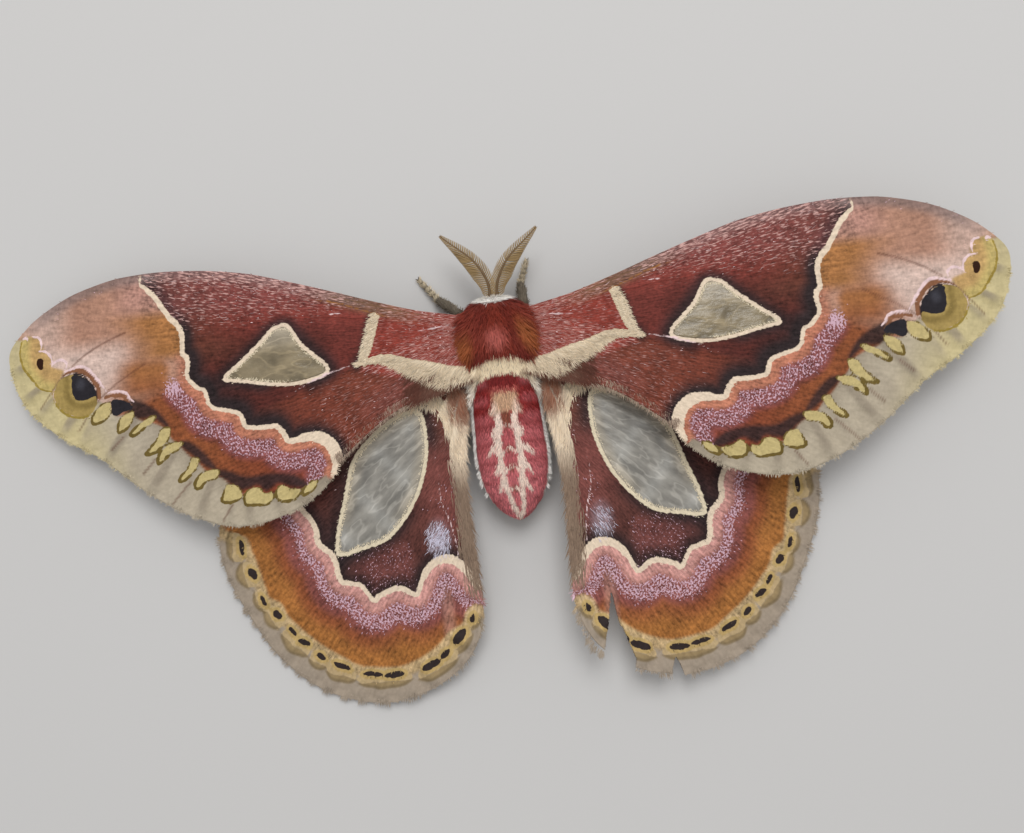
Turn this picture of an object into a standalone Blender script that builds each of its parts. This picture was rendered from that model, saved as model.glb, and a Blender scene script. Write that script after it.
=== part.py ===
"""Life-size rothschildia moth, resting with its wings spread flat.

The origin is the middle of the flat under the abdomen, on the floor.
+Y is the way the head points, +X is the moth's right side and +Z is up.
Every length below is in millimetres and becomes metres when a mesh is made.
"""

import math
from dataclasses import dataclass
from typing import NamedTuple

import bmesh
import bpy
from mathutils import Matrix, Vector
from mathutils.geometry import delaunay_2d_cdt, intersect_point_line

MM = 0.001

# Gap that neighbouring sub-parts keep, and the distance from the thorax centre back to the origin
GAP = 0.3
BELLY_BACK = 12.5

# Sides of round pieces
BODY_SIDES = 26
LEG_SIDES = 8
SPINE_SIDES = 8
RAY_SIDES = 5


class Section(NamedTuple):
    """One cross-section of the body, measured from the thorax centre."""

    y: float
    z: float
    half_width: float
    half_height: float


# The body from the collar to the tail
BODY = [
    Section(5.3, 7.2, 1.2, 0.8),
    Section(5.0, 7.0, 2.6, 1.8),
    Section(4.0, 6.6, 4.1, 3.0),
    Section(2.4, 6.25, 5.1, 4.0),
    Section(0.4, 6.0, 5.35, 4.5),
    Section(-1.6, 5.85, 5.2, 4.35),
    Section(-3.2, 5.5, 4.75, 3.95),
    Section(-4.6, 5.0, 4.45, 3.8),
    Section(-7.5, 4.35, 4.5, 4.05),
    Section(-11.5, 4.05, 4.65, 4.4),
    Section(-14.5, 3.9, 4.75, 4.2),
    Section(-18.0, 3.8, 4.3, 3.55),
    Section(-20.4, 3.5, 3.05, 2.6),
    Section(-22.0, 3.3, 1.45, 1.3),
    Section(-22.5, 3.2, 0.5, 0.5),
]
COLLAR_TIP = 0.2
TAIL_TIP = 0.25
WAIST_Y = -4.3
SQUARENESS = 2.25
RING_STEP = 0.95
SEGMENT_STEP = 0.74
ABDOMEN_JOINTS = 7
FIRST_JOINT_BEHIND_WAIST = 2.2
LAST_JOINT_BEFORE_TAIL = 2.4
JOINT_GROOVE = 0.16
JOINT_GROOVE_WIDTH = 0.38

# Head, with the turns and rows of its faces
HEAD_CENTRE = Vector((0.0, 4.2, 3.9))
HEAD_RADII = Vector((2.1, 1.85, 1.95))
HEAD_FACES = (20, 12)
EYE_RADIUS = 1.05
EYE_CENTRE = Vector((1.8, 4.75, 3.85))
EYE_FACES = (14, 9)
PALP_CENTRE = Vector((0.55, 5.6, 2.8))
PALP_RADII = Vector((0.42, 0.85, 0.5))
PALP_FACES = (8, 6)
PALP_PITCH = math.radians(-25)

# Antennae: the shaft's route on each side, and the rays that comb out from it
ANTENNA_LEFT = [(-0.45, 5.0, 4.9), (-0.45, 6.8, 5.3), (-1.05, 8.7, 5.6), (-2.15, 10.6, 5.7),
                (-5.8, 14.7, 5.6)]
ANTENNA_RIGHT = [(0.65, 5.0, 4.9), (0.85, 6.8, 5.3), (1.6, 8.5, 5.6), (2.6, 10.1, 5.7), (6.7, 14.3, 5.6)]
SHAFT_RADIUS = (0.34, 0.27)
SHAFT_STEP = 0.8
RAY_PAIRS = 11
RAY_SPAN = (0.17, 0.95)
RAY_LENGTH = 1.6
RAY_RADIUS = (0.25, 0.13)
RAY_SWEEP = math.radians(52)
RAY_DROOP = math.radians(14)
# How the rays lengthen from the base, where they are longest, and how they shorten to the tip
RAY_FIRST_SHARE = 0.62
RAY_RISE = 1.3
RAY_LONGEST_AT = 0.35
RAY_TIP_LOSS = 0.62
RAY_TIP_POWER = 1.6

# Legs: hip, trochanter, knee, ankle and toe of each, toes on the floor
LEGS = {
    "foreleg_left": [(-2.3, 1.8, 3.8), (-3.5, 3.0, 1.9), (-4.7, 4.8, 3.2), (-7.3, 7.4, 1.15),
                     (-9.7, 10.8, 0.3)],
    "foreleg_right": [(2.3, 1.8, 3.8), (3.5, 3.0, 1.9), (3.9, 5.1, 3.2), (3.8, 8.1, 1.15),
                      (5.0, 11.6, 0.3)],
    "midleg_left": [(-1.8, 0.2, 3.8), (-3.7, 0.4, 1.9), (-7.2, 1.6, 3.9), (-11.3, 0.1, 1.25),
                    (-15.9, -1.2, 0.3)],
    "midleg_right": [(1.8, 0.2, 3.8), (3.7, 0.4, 1.9), (7.2, 1.3, 3.9), (11.2, -0.4, 1.25),
                     (15.7, -2.0, 0.3)],
    "hindleg_left": [(-1.7, -2.3, 3.7), (-3.8, -2.7, 1.9), (-7.2, -5.4, 3.5), (-9.4, -11.0, 1.25),
                     (-12.0, -15.8, 0.3)],
    "hindleg_right": [(1.7, -2.3, 3.7), (3.8, -2.7, 1.9), (7.2, -5.6, 3.5), (9.6, -11.1, 1.25),
                      (12.3, -15.7, 0.3)],
}
# How far along each stretch of a leg a ring stands, and its radius there
COXA_RINGS = [(0.0, 0.75), (0.55, 0.8)]
FEMUR_RINGS = [(0.0, 0.7), (0.3, 0.82), (0.75, 0.74)]
TIBIA_RINGS = [(0.0, 0.58), (0.25, 0.68), (0.6, 0.7), (0.85, 0.6)]
TARSUS_RINGS = [(0.0, 0.46), (0.2, 0.42), (0.24, 0.36), (0.46, 0.42), (0.5, 0.35), (0.72, 0.4), (0.76, 0.34),
                (0.97, 0.36)]
CLAW_LENGTH = 0.3
CLAW_RADIUS = 0.22

# Wings: spans, thickness, veins, windows and how finely the membrane is divided
FORE_SPAN = 60.4
HIND_SPAN = 44.0
WING_THICKNESS = 0.55
ROOT_THICKENING = 0.45
ROOT_REACH = 3.0
VEIN_HEIGHT = (0.34, 0.16)
VEIN_HALF_WIDTH = (0.5, 0.3)
VEIN_STEP = 3.4
WINDOW_RECESS = 0.1
WINDOW_RIM = 0.4
WINDOW_STEP = 2.6
OUTLINE_STEP = 1.5
FIELD_STEP = 4.2
FIELD_CLEARANCE = 1.7
VEIN_MARGIN_CLEARANCE = 1.0

# Forewing outline in its own plane: u runs outwards from the hinge, v runs forwards
FORE_COSTA = [(-2.6, 0.9), (0.0, 1.6), (5.0, 2.8), (10.0, 4.4), (20.0, 7.9), (27.5, 10.2), (35.0, 11.4),
              (42.0, 11.7), (48.0, 10.9), (53.5, 9.0), (58.0, 6.1), (60.1, 3.5), (60.4, 1.2)]
FORE_OUTER = [(60.4, 1.2), (59.3, -2.3), (57.0, -5.6), (52.5, -9.2), (47.8, -12.0), (42.0, -16.7),
              (36.5, -20.1), (30.5, -22.1), (25.5, -21.7), (20.5, -19.8), (17.2, -17.0), (16.3, -15.2)]
FORE_INNER = [(16.3, -15.2), (15.0, -14.1), (10.2, -10.5), (5.6, -8.2), (2.2, -6.9), (-2.6, -5.4)]
FORE_WINDOW = [(30.6, -3.3), (28.1, -1.2), (25.7, 0.8), (23.7, 2.6), (22.0, 2.7), (20.3, 0.1), (17.0, -3.6),
               (20.4, -4.8), (23.4, -4.8), (28.0, -3.9)]
FORE_VEINS = [
    [(0.0, 0.3), (12.0, 4.0), (28.0, 9.3), (42.0, 10.6)],
    [(0.0, -0.4), (12.0, 2.6), (22.0, 4.2), (34.0, 6.4), (46.0, 7.3), (57.5, 4.8)],
    [(23.0, 4.2), (32.0, 2.6), (44.0, 1.4), (58.3, -1.6)],
    [(31.8, -3.0), (42.0, -4.2), (54.6, -6.9)],
    [(29.0, -4.9), (38.0, -7.4), (49.0, -10.4)],
    [(0.0, -1.8), (12.0, -3.2), (18.5, -5.4), (25.0, -7.7), (34.0, -12.4), (42.0, -15.6)],
    [(16.5, -4.8), (24.0, -11.0), (34.5, -20.0)],
    [(1.0, -3.6), (10.0, -8.4), (17.5, -13.4), (24.0, -20.4)],
]

# Hindwing outline, the same way; the right one is torn near its inner corner
HIND_COSTA = [(-2.6, 0.6), (4.0, 0.3), (14.0, -2.2), (24.0, -6.6), (31.0, -11.6), (34.4, -17.0)]
HIND_OUTER = [(34.4, -17.0), (34.9, -20.5), (34.0, -25.2), (31.8, -30.1), (28.4, -35.6), (23.7, -39.8),
              (18.7, -41.9), (14.1, -42.5)]
HIND_CORNER = [(14.1, -42.5), (8.2, -40.8), (3.8, -37.5), (1.8, -33.8), (1.3, -30.0)]
HIND_ANAL = [(1.3, -30.0), (1.6, -25.5), (1.9, -18.0), (1.8, -12.5), (1.2, -8.0), (0.2, -4.9), (-2.6, -4.2)]
HIND_TORN_CORNER = [(14.1, -42.5), (13.5, -40.5), (12.4, -42.3), (8.0, -41.1), (8.2, -39.7), (7.4, -37.1),
                    (6.6, -34.9), (6.0, -31.1), (5.4, -34.2), (4.8, -36.8), (4.2, -38.8), (3.0, -37.9),
                    (1.9, -35.6), (1.3, -32.5), (1.3, -30.0)]
HIND_WINDOW = [(6.7, -6.1), (6.1, -9.8), (6.7, -13.2), (8.0, -16.4), (10.2, -19.5), (12.6, -21.7), (16.4, -22.5),
               (19.2, -22.9), (18.9, -20.6), (17.3, -15.8), (15.7, -11.3), (13.2, -8.7), (9.6, -6.5)]
HIND_VEINS = [
    [(0.5, -0.6), (16.0, -4.2), (30.5, -12.8)],
    [(1.0, -1.4), (10.0, -4.6), (18.0, -8.8), (26.0, -13.8), (33.4, -20.6)],
    [(17.6, -10.6), (25.0, -18.4), (31.6, -28.2)],
    [(20.2, -23.6), (24.0, -29.8), (27.0, -35.4)],
    [(16.4, -23.8), (18.4, -31.6), (19.4, -40.4)],
    [(1.0, -2.4), (4.2, -6.8), (4.9, -12.4), (7.6, -19.0), (11.0, -28.6), (12.0, -39.0)],
    [(1.0, -4.0), (3.6, -12.6), (4.6, -22.0), (5.2, -29.0)],
]


@dataclass(frozen=True)
class WingPose:
    """How one wing is set on its hinge."""

    side: int
    hinge: tuple
    sweep: float
    dihedral: float
    twist: float
    arch: float
    thickens_up: bool

    def matrix(self):
        """Frame that takes the wing's own plane to the moth."""
        turn = (
            Matrix.Rotation(math.radians(self.sweep), 4, "Z")
            @ Matrix.Rotation(math.radians(-self.dihedral), 4, "Y")
            @ Matrix.Rotation(math.radians(self.twist), 4, "X")
        )
        mirror = Matrix.Diagonal((self.side, 1.0, 1.0, 1.0))
        return mirror @ Matrix.Translation(self.hinge) @ turn


FORE_HINGE = (4.6, 2.0, 7.2)
HIND_HINGE = (4.4, -1.5, 5.85)
WING_POSES = {
    "forewing_left": WingPose(-1, FORE_HINGE, 2.0, -4.6, 0.0, 0.7, True),
    "forewing_right": WingPose(1, FORE_HINGE, -2.0, -1.0, -0.5, 0.7, True),
    "hindwing_left": WingPose(-1, HIND_HINGE, 0.7, -4.6, 5.0, 0.6, False),
    "hindwing_right": WingPose(1, HIND_HINGE, -0.7, -8.0, 0.5, 0.6, False),
}

# Colour and roughness of each sub-part
COLOURS = {
    "head": ((0.62, 0.45, 0.36), 0.9),
    "thorax": ((0.36, 0.07, 0.05), 0.95),
    "abdomen": ((0.42, 0.06, 0.06), 0.9),
    "eye": ((0.05, 0.03, 0.03), 0.25),
    "antenna": ((0.42, 0.28, 0.14), 0.7),
    "foreleg": ((0.45, 0.36, 0.31), 0.9),
    "midleg": ((0.44, 0.35, 0.30), 0.9),
    "hindleg": ((0.43, 0.34, 0.29), 0.9),
    "forewing": ((0.33, 0.12, 0.09), 0.85),
    "hindwing": ((0.30, 0.10, 0.08), 0.85),
}


def smooth_curve(points, step):
    """Points about one step apart on a smooth curve through the given ones."""
    knots = [Vector(p) for p in points]
    knots = [2 * knots[0] - knots[1]] + knots + [2 * knots[-1] - knots[-2]]
    out = []
    for a, b, c, d in zip(knots, knots[1:], knots[2:], knots[3:]):
        count = max(1, round((c - b).length / step))
        t0 = 0.0
        t1 = t0 + math.sqrt((b - a).length)
        t2 = t1 + math.sqrt((c - b).length)
        t3 = t2 + math.sqrt((d - c).length)
        for i in range(count):
            t = t1 + (t2 - t1) * i / count
            ab = a.lerp(b, (t - t0) / (t1 - t0))
            bc = b.lerp(c, (t - t1) / (t2 - t1))
            cd = c.lerp(d, (t - t2) / (t3 - t2))
            abc = ab.lerp(bc, (t - t0) / (t2 - t0))
            bcd = bc.lerp(cd, (t - t1) / (t3 - t1))
            out.append(abc.lerp(bcd, (t - t1) / (t2 - t1)))
    out.append(knots[-2].copy())
    return out


def straight_runs(points, step):
    """Points about one step apart along straight lines between the given ones."""
    out = []
    for a, b in zip(points, points[1:]):
        start, end = Vector(a), Vector(b)
        count = max(1, round((end - start).length / step))
        out += [start.lerp(end, i / count) for i in range(count)]
    return out + [Vector(points[-1])]


def material(node):
    """Material of one sub-part, named after it."""
    kind = node.split("_")[0]
    colour, roughness = COLOURS[kind]
    made = bpy.data.materials.new(node)
    made.use_nodes = True
    shader = made.node_tree.nodes["Principled BSDF"]
    shader.inputs["Base Color"].default_value = (*colour, 1.0)
    shader.inputs["Roughness"].default_value = roughness
    shader.inputs["Metallic"].default_value = 0.0
    return made


def make_object(name, vertices, faces):
    """Object in the scene from points in millimetres."""
    mesh = bpy.data.meshes.new(name)
    mesh.from_pydata([tuple(Vector(v) * MM) for v in vertices], [], faces)
    mesh.validate()
    made = bpy.data.objects.new(name, mesh)
    bpy.context.scene.collection.objects.link(made)
    return made


def drop(objects):
    """Removes helper objects."""
    for item in list(objects):
        bpy.data.objects.remove(item, do_unlink=True)


def keep_largest_surface(mesh):
    """Leaves one closed body of triangles."""
    work = bmesh.new()
    work.from_mesh(mesh)
    left = set(work.faces)
    bodies = []
    while left:
        stack = [left.pop()]
        body = []
        while stack:
            face = stack.pop()
            body.append(face)
            for edge in face.edges:
                for other in edge.link_faces:
                    if other in left:
                        left.remove(other)
                        stack.append(other)
        bodies.append(body)
    largest = max(bodies, key=lambda body: sum(face.calc_area() for face in body))
    scraps = [face for body in bodies if body is not largest for face in body]
    bmesh.ops.delete(work, geom=scraps, context="FACES")
    bmesh.ops.triangulate(work, faces=work.faces[:])
    bmesh.ops.recalc_face_normals(work, faces=work.faces[:])
    work.to_mesh(mesh)
    work.free()


def combine(target, others, operation, solver="EXACT"):
    """Unites the others with the target or cuts them out of it, in place."""
    group = bpy.data.collections.new(target.name + "_tools")
    for item in others:
        group.objects.link(item)
    boolean = target.modifiers.new("combine", "BOOLEAN")
    boolean.operation = operation
    boolean.solver = solver
    boolean.operand_type = "COLLECTION"
    boolean.collection = group
    evaluated = target.evaluated_get(bpy.context.evaluated_depsgraph_get())
    mesh = bpy.data.meshes.new_from_object(evaluated)
    target.modifiers.clear()
    old = target.data
    target.data = mesh
    bpy.data.meshes.remove(old)
    mesh.name = target.name
    keep_largest_surface(mesh)
    bpy.data.collections.remove(group)


def finish(obj):
    """Gives a finished sub-part its material and its shading."""
    obj.data.materials.clear()
    obj.data.materials.append(material(obj.name))
    obj.data.shade_smooth()
    obj.data.set_sharp_from_angle(angle=math.radians(50))
    return obj


def loft(name, rings, start_pole=None, end_pole=None):
    """Closed body through rings of equal count, each end a pole or a flat face."""
    count = len(rings[0])
    vertices = [point for ring in rings for point in ring]
    faces = []
    for row in range(len(rings) - 1):
        for i in range(count):
            j = (i + 1) % count
            low, high = row * count, (row + 1) * count
            faces.append((low + i, low + j, high + j, high + i))
    last = (len(rings) - 1) * count
    if start_pole is None:
        faces.append(tuple(reversed(range(count))))
    else:
        vertices.append(start_pole)
        faces += [((i + 1) % count, i, len(vertices) - 1) for i in range(count)]
    if end_pole is None:
        faces.append(tuple(last + i for i in range(count)))
    else:
        vertices.append(end_pole)
        faces += [(last + i, last + (i + 1) % count, len(vertices) - 1) for i in range(count)]
    made = make_object(name, vertices, faces)
    keep_largest_surface(made.data)
    return made


def ellipsoid(name, centre, radii, face_counts, pitch=0.0):
    """Closed ellipsoid with its poles up and down, pitched about X."""
    turns, rows = face_counts
    tilt = Matrix.Rotation(pitch, 3, "X")

    def point(polar, around):
        local = Vector((
            radii[0] * math.sin(polar) * math.cos(around),
            radii[1] * math.sin(polar) * math.sin(around),
            radii[2] * math.cos(polar),
        ))
        return centre + tilt @ local

    rings = []
    for row in range(1, rows):
        polar = math.pi * (1.0 - row / rows)
        rings.append([point(polar, 2 * math.pi * i / turns) for i in range(turns)])
    return loft(name, rings, point(math.pi, 0.0), point(0.0, 0.0))


def section_at(y):
    """Body section at a station, on a smooth curve through the named ones."""
    last = len(BODY) - 1
    k = max(i for i in range(last) if y <= BODY[i].y + 1e-9)
    a, b = BODY[max(k - 1, 0)], BODY[k]
    c, d = BODY[k + 1], BODY[min(k + 2, last)]
    t = (y - b.y) / (c.y - b.y)
    values = []
    for before, start, end, after in zip(a, b, c, d):
        rise_in = (end - before) * (c.y - b.y) / (c.y - a.y) if a is not b else end - start
        rise_out = (after - start) * (c.y - b.y) / (d.y - b.y) if d is not c else end - start
        h01 = t * t * (3 - 2 * t)
        values.append(
            start * (1 - h01) + end * h01
            + rise_in * t * (1 - t) ** 2
            - rise_out * t * t * (1 - t)
        )
    return Section(y, *values[1:])


def joint_groove(y):
    """How far the abdomen is drawn in at a station by the joint between two segments."""
    first, last = WAIST_Y - FIRST_JOINT_BEHIND_WAIST, BODY[-1].y + LAST_JOINT_BEFORE_TAIL
    depth = 0.0
    for i in range(ABDOMEN_JOINTS):
        joint = first + (last - first) * i / (ABDOMEN_JOINTS - 1)
        depth += JOINT_GROOVE * math.exp(-(((y - joint) / JOINT_GROOVE_WIDTH) ** 2))
    return depth


def body_ring(y, grow=0.0, grooved=False, floor=True):
    """Ring of points round the body at a station."""
    section = section_at(y)
    swell = grow - (joint_groove(y) if grooved else 0.0)
    ring = []
    for i in range(BODY_SIDES):
        around = 2 * math.pi * i / BODY_SIDES
        cosine, sine = math.cos(around), math.sin(around)
        x = math.copysign(abs(cosine) ** (2 / SQUARENESS), cosine) * (section.half_width + swell)
        z = section.z + math.copysign(abs(sine) ** (2 / SQUARENESS), sine) * (section.half_height + swell)
        if floor:
            z = max(z, 0.0)
        ring.append(Vector((x, y, z)))
    return ring


def stations(start, end, step):
    """Evenly spread stations from one to the other, both included."""
    count = max(1, round(abs(end - start) / step))
    return [start + (end - start) * i / count for i in range(count + 1)]


def make_thorax(head_cutters):
    """Thorax with a flat face at the waist and a hollow under the collar for the head."""
    rings = [body_ring(y) for y in stations(WAIST_Y + GAP / 2, BODY[0].y, RING_STEP)]
    tip = Vector((0.0, BODY[0].y + COLLAR_TIP, BODY[0].z))
    thorax = loft("thorax", rings, None, tip)
    combine(thorax, head_cutters, "DIFFERENCE")
    return thorax


def make_abdomen():
    """Abdomen with its segments, resting on the flat of its belly."""
    first, last = WAIST_Y - GAP / 2, BODY[-1].y
    rings = [body_ring(y, grooved=True) for y in stations(last, first, SEGMENT_STEP)]
    tip = Vector((0.0, last - TAIL_TIP, BODY[-1].z))
    return loft("abdomen", rings, tip, None)


def make_body_cutter(grow):
    """Whole body grown by a gap, to part the wings and limbs from it."""
    rings = [body_ring(y, grow, floor=False) for y in stations(BODY[-1].y, BODY[0].y, RING_STEP)]
    tail = Vector((0.0, BODY[-1].y - TAIL_TIP - grow, BODY[-1].z))
    nose = Vector((0.0, BODY[0].y + COLLAR_TIP + grow, BODY[0].z))
    return loft("body_cutter", rings, tail, nose)


def mirrored(point, side):
    """The point on the moth's right side, or its mirror image on the left."""
    return Vector((point[0] * side, point[1], point[2]))


def make_eye(name, side, grow=0.0):
    """One compound eye, or the socket for it."""
    radius = EYE_RADIUS + grow
    return ellipsoid(name, mirrored(EYE_CENTRE, side), Vector((radius, radius, radius)), EYE_FACES)


def make_head(sockets):
    """Head with its two palps and a socket for each eye."""
    head = ellipsoid("head", HEAD_CENTRE, HEAD_RADII, HEAD_FACES)
    palps = []
    for side in (-1, 1):
        palps.append(ellipsoid("palp", mirrored(PALP_CENTRE, side), PALP_RADII, PALP_FACES, PALP_PITCH))
    combine(head, palps, "UNION")
    combine(head, sockets, "DIFFERENCE")
    drop(palps)
    return head


def tube(name, centres, radii, sides, floor=None):
    """Closed tube along a route, its rings square to it."""
    centres = [Vector(c) for c in centres]
    rings = []
    side = None
    for i, centre in enumerate(centres):
        before = centres[max(i - 1, 0)]
        after = centres[min(i + 1, len(centres) - 1)]
        ahead = (after - centre).normalized() if i < len(centres) - 1 else Vector()
        behind = (centre - before).normalized() if i > 0 else Vector()
        along = (ahead + behind).normalized()
        if side is None:
            side = Vector((0.0, 0.0, 1.0)).cross(along).normalized()
        side = (side - along * side.dot(along)).normalized()
        up = along.cross(side)
        ring = []
        for k in range(sides):
            around = 2 * math.pi * (k + 0.5) / sides
            point = centre + radii[i] * (math.cos(around) * side + math.sin(around) * up)
            if floor is not None:
                point.z = max(point.z, floor)
            ring.append(point)
        rings.append(ring)
    return loft(name, rings)


def make_leg(name, joints, body_cutter):
    """One leg: coxa, femur, tibia and jointed tarsus, the toe flat on the floor."""
    centres, radii = [], []
    stretches = (COXA_RINGS, FEMUR_RINGS, TIBIA_RINGS, TARSUS_RINGS)
    for start, end, rings in zip(joints, joints[1:], stretches):
        for share, radius in rings:
            centres.append(Vector(start).lerp(Vector(end), share))
            radii.append(radius)
    toe = Vector(joints[-1])
    centres.append(toe + (toe - centres[-1]).normalized() * CLAW_LENGTH)
    radii.append(CLAW_RADIUS)
    leg = tube(name, centres, radii, LEG_SIDES, floor=0.0)
    combine(leg, [body_cutter], "DIFFERENCE")
    return leg


def ray_share(share):
    """Length of a ray against the longest, which stands a third of the way up the shaft."""
    rise = min(1.0, RAY_FIRST_SHARE + RAY_RISE * share)
    fall = max(0.0, share - RAY_LONGEST_AT) / (1.0 - RAY_LONGEST_AT)
    return rise * (1.0 - RAY_TIP_LOSS * fall ** RAY_TIP_POWER)


def make_antenna(name, route, head_cutter):
    """One feathered antenna: a tapered shaft with a row of rays combed out on each side."""
    centres = smooth_curve(route, SHAFT_STEP)
    last = len(centres) - 1
    thick, thin = SHAFT_RADIUS
    radii = [thick + (thin - thick) * i / last for i in range(last + 1)]
    antenna = tube(name, centres, radii, SPINE_SIDES)
    rays = []
    for i in range(RAY_PAIRS):
        share = RAY_SPAN[0] + (RAY_SPAN[1] - RAY_SPAN[0]) * i / (RAY_PAIRS - 1)
        place = share * last
        k = min(int(place), last - 1)
        root = centres[k].lerp(centres[k + 1], place - k)
        along = (centres[k + 1] - centres[k]).normalized()
        across = along.cross(Vector((0.0, 0.0, 1.0))).normalized()
        length = RAY_LENGTH * ray_share(share)
        for side in (-1, 1):
            out = across * side * math.cos(RAY_DROOP) + Vector((0.0, 0.0, -math.sin(RAY_DROOP)))
            aim = along * math.cos(RAY_SWEEP) + out * math.sin(RAY_SWEEP)
            tips = [root + aim * (length * t) for t in (0.0, 0.55, 1.0)]
            widths = [RAY_RADIUS[0], (RAY_RADIUS[0] + RAY_RADIUS[1]) / 2, RAY_RADIUS[1]]
            rays.append(tube("ray", tips, widths, RAY_SIDES))
    combine(antenna, rays, "UNION")
    combine(antenna, [head_cutter], "DIFFERENCE")
    drop(rays)
    return antenna


def distance_to_line(point, line):
    """Distance from a point to a line of points, and how far along the line the nearest spot is."""
    best, share = math.inf, 0.0
    for i, (a, b) in enumerate(zip(line, line[1:])):
        spot, t = intersect_point_line(point, a, b)
        t = min(max(t, 0.0), 1.0)
        away = (point - a.lerp(b, t)).length
        if away < best:
            best, share = away, (i + t) / (len(line) - 1)
    return best, share


def inside(point, loop):
    """Whether a point lies within a closed loop."""
    odd = False
    for a, b in zip(loop, loop[1:] + loop[:1]):
        if (a.y > point.y) != (b.y > point.y):
            if point.x < a.x + (point.y - a.y) * (b.x - a.x) / (b.y - a.y):
                odd = not odd
    return odd


def offset_line(line, away):
    """The line moved sideways by a distance of its own at each point."""
    out = []
    for i, point in enumerate(line):
        run = line[min(i + 1, len(line) - 1)] - line[max(i - 1, 0)]
        normal = Vector((-run.y, run.x)).normalized()
        out.append(point + normal * away[i])
    return out


class Membrane:
    """One wing laid out flat: its outline, veins and window, and the heights they give it."""

    def __init__(self, outline, veins, window):
        self.outline = outline
        self.window = smooth_curve(window + window[:1], WINDOW_STEP)[:-1]
        self.veins = []
        for vein in veins:
            within = [p for p in smooth_curve(vein, VEIN_STEP) if inside(p, outline)]
            self.veins.append([p for p in within if self.margin_distance(p) > VEIN_MARGIN_CLEARANCE])

    def margin_distance(self, point):
        """Distance from a point to the outline."""
        return distance_to_line(point, self.outline + self.outline[:1])[0]

    def ridge(self, point):
        """Height of the veins above the membrane at a point."""
        height = 0.0
        for line in self.veins:
            away, share = distance_to_line(point, line)
            half_width = VEIN_HALF_WIDTH[0] + (VEIN_HALF_WIDTH[1] - VEIN_HALF_WIDTH[0]) * share
            tall = VEIN_HEIGHT[0] + (VEIN_HEIGHT[1] - VEIN_HEIGHT[0]) * share
            height = max(height, tall * (1.0 - away / half_width))
        return height

    def recess(self, point):
        """Depth of the window's bare membrane below the scaled wing at a point."""
        if not inside(point, self.window):
            return 0.0
        away = distance_to_line(point, self.window + self.window[:1])[0]
        return WINDOW_RECESS * min(1.0, away / WINDOW_RIM)

    def triangles(self):
        """Flat points and the triangles between them, with edges along every vein and rim."""
        points = []
        edges = []

        def add(line, closed=False):
            first = len(points)
            points.extend(line)
            count = len(line)
            edges.extend((first + i, first + i + 1) for i in range(count - 1))
            if closed:
                edges.append((first + count - 1, first))

        add(self.outline, closed=True)
        add(self.window, closed=True)
        around = self.window[-1:] + self.window + self.window[:1]
        rims = [offset_line(around, [away] * len(around))[1:-1] for away in (-WINDOW_RIM, WINDOW_RIM)]
        add(rims[0] if inside(rims[0][0], self.window) else rims[1], closed=True)
        for line in self.veins:
            widths = [
                VEIN_HALF_WIDTH[0] + (VEIN_HALF_WIDTH[1] - VEIN_HALF_WIDTH[0]) * i / (len(line) - 1)
                for i in range(len(line))
            ]
            add(line)
            add(offset_line(line, widths))
            add(offset_line(line, [-w for w in widths]))
        fixed = list(points)
        low = Vector((min(p.x for p in self.outline), min(p.y for p in self.outline)))
        high = Vector((max(p.x for p in self.outline), max(p.y for p in self.outline)))
        row = 0
        y = low.y
        while y < high.y:
            x = low.x + (FIELD_STEP / 2 if row % 2 else 0.0)
            while x < high.x:
                point = Vector((x, y))
                near = min((point - other).length for other in fixed)
                clear = near > FIELD_CLEARANCE and self.margin_distance(point) > FIELD_CLEARANCE
                if clear and inside(point, self.outline):
                    points.append(point)
                x += FIELD_STEP
            y += FIELD_STEP * math.sqrt(0.75)
            row += 1
        inner_triangles = 1
        flat, _, faces, *_ = delaunay_2d_cdt(points, edges, [], inner_triangles, 1e-5)
        return flat, faces


def wing_height(point, arch, span):
    """Rise of the membrane's middle surface, an arch from the hinge to the far margin."""
    share = min(max(point.length / span, 0.0), 1.0)
    return 4.0 * arch * share * (1.0 - share)


def make_wing(name, membrane, pose, span, body_cutter):
    """One wing: the membrane with the same triangles above and below."""
    flat, faces = membrane.triangles()
    place = pose.matrix()
    top, bottom = [], []
    for point in flat:
        middle = wing_height(point, pose.arch, span)
        recess = membrane.recess(point)
        root = ROOT_THICKENING * math.exp(-((max(point.x, 0.0) / ROOT_REACH) ** 2))
        above = WING_THICKNESS / 2 - recess / 2 + membrane.ridge(point) + (root if pose.thickens_up else 0.0)
        below = WING_THICKNESS / 2 - recess / 2 + (0.0 if pose.thickens_up else root)
        top.append(place @ Vector((point.x, point.y, middle + above)))
        bottom.append(place @ Vector((point.x, point.y, middle - below)))
    count = len(flat)
    shell = []
    border = {}
    for face in faces:
        shell.append(tuple(face))
        shell.append(tuple(count + i for i in reversed(face)))
        for a, b in zip(face, list(face[1:]) + [face[0]]):
            border[(a, b)] = True
    for a, b in border:
        if (b, a) not in border:
            shell.append((b, a, count + a, count + b))
    if pose.side < 0:
        shell = [tuple(reversed(face)) for face in shell]
    wing = make_object(name, top + bottom, shell)
    keep_largest_surface(wing.data)
    combine(wing, [body_cutter], "DIFFERENCE")
    return wing


def closed_outline(*runs):
    """One closed outline from runs that start where the one before ends."""
    outline = []
    for run in runs:
        outline += run[:-1]
    return outline


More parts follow.
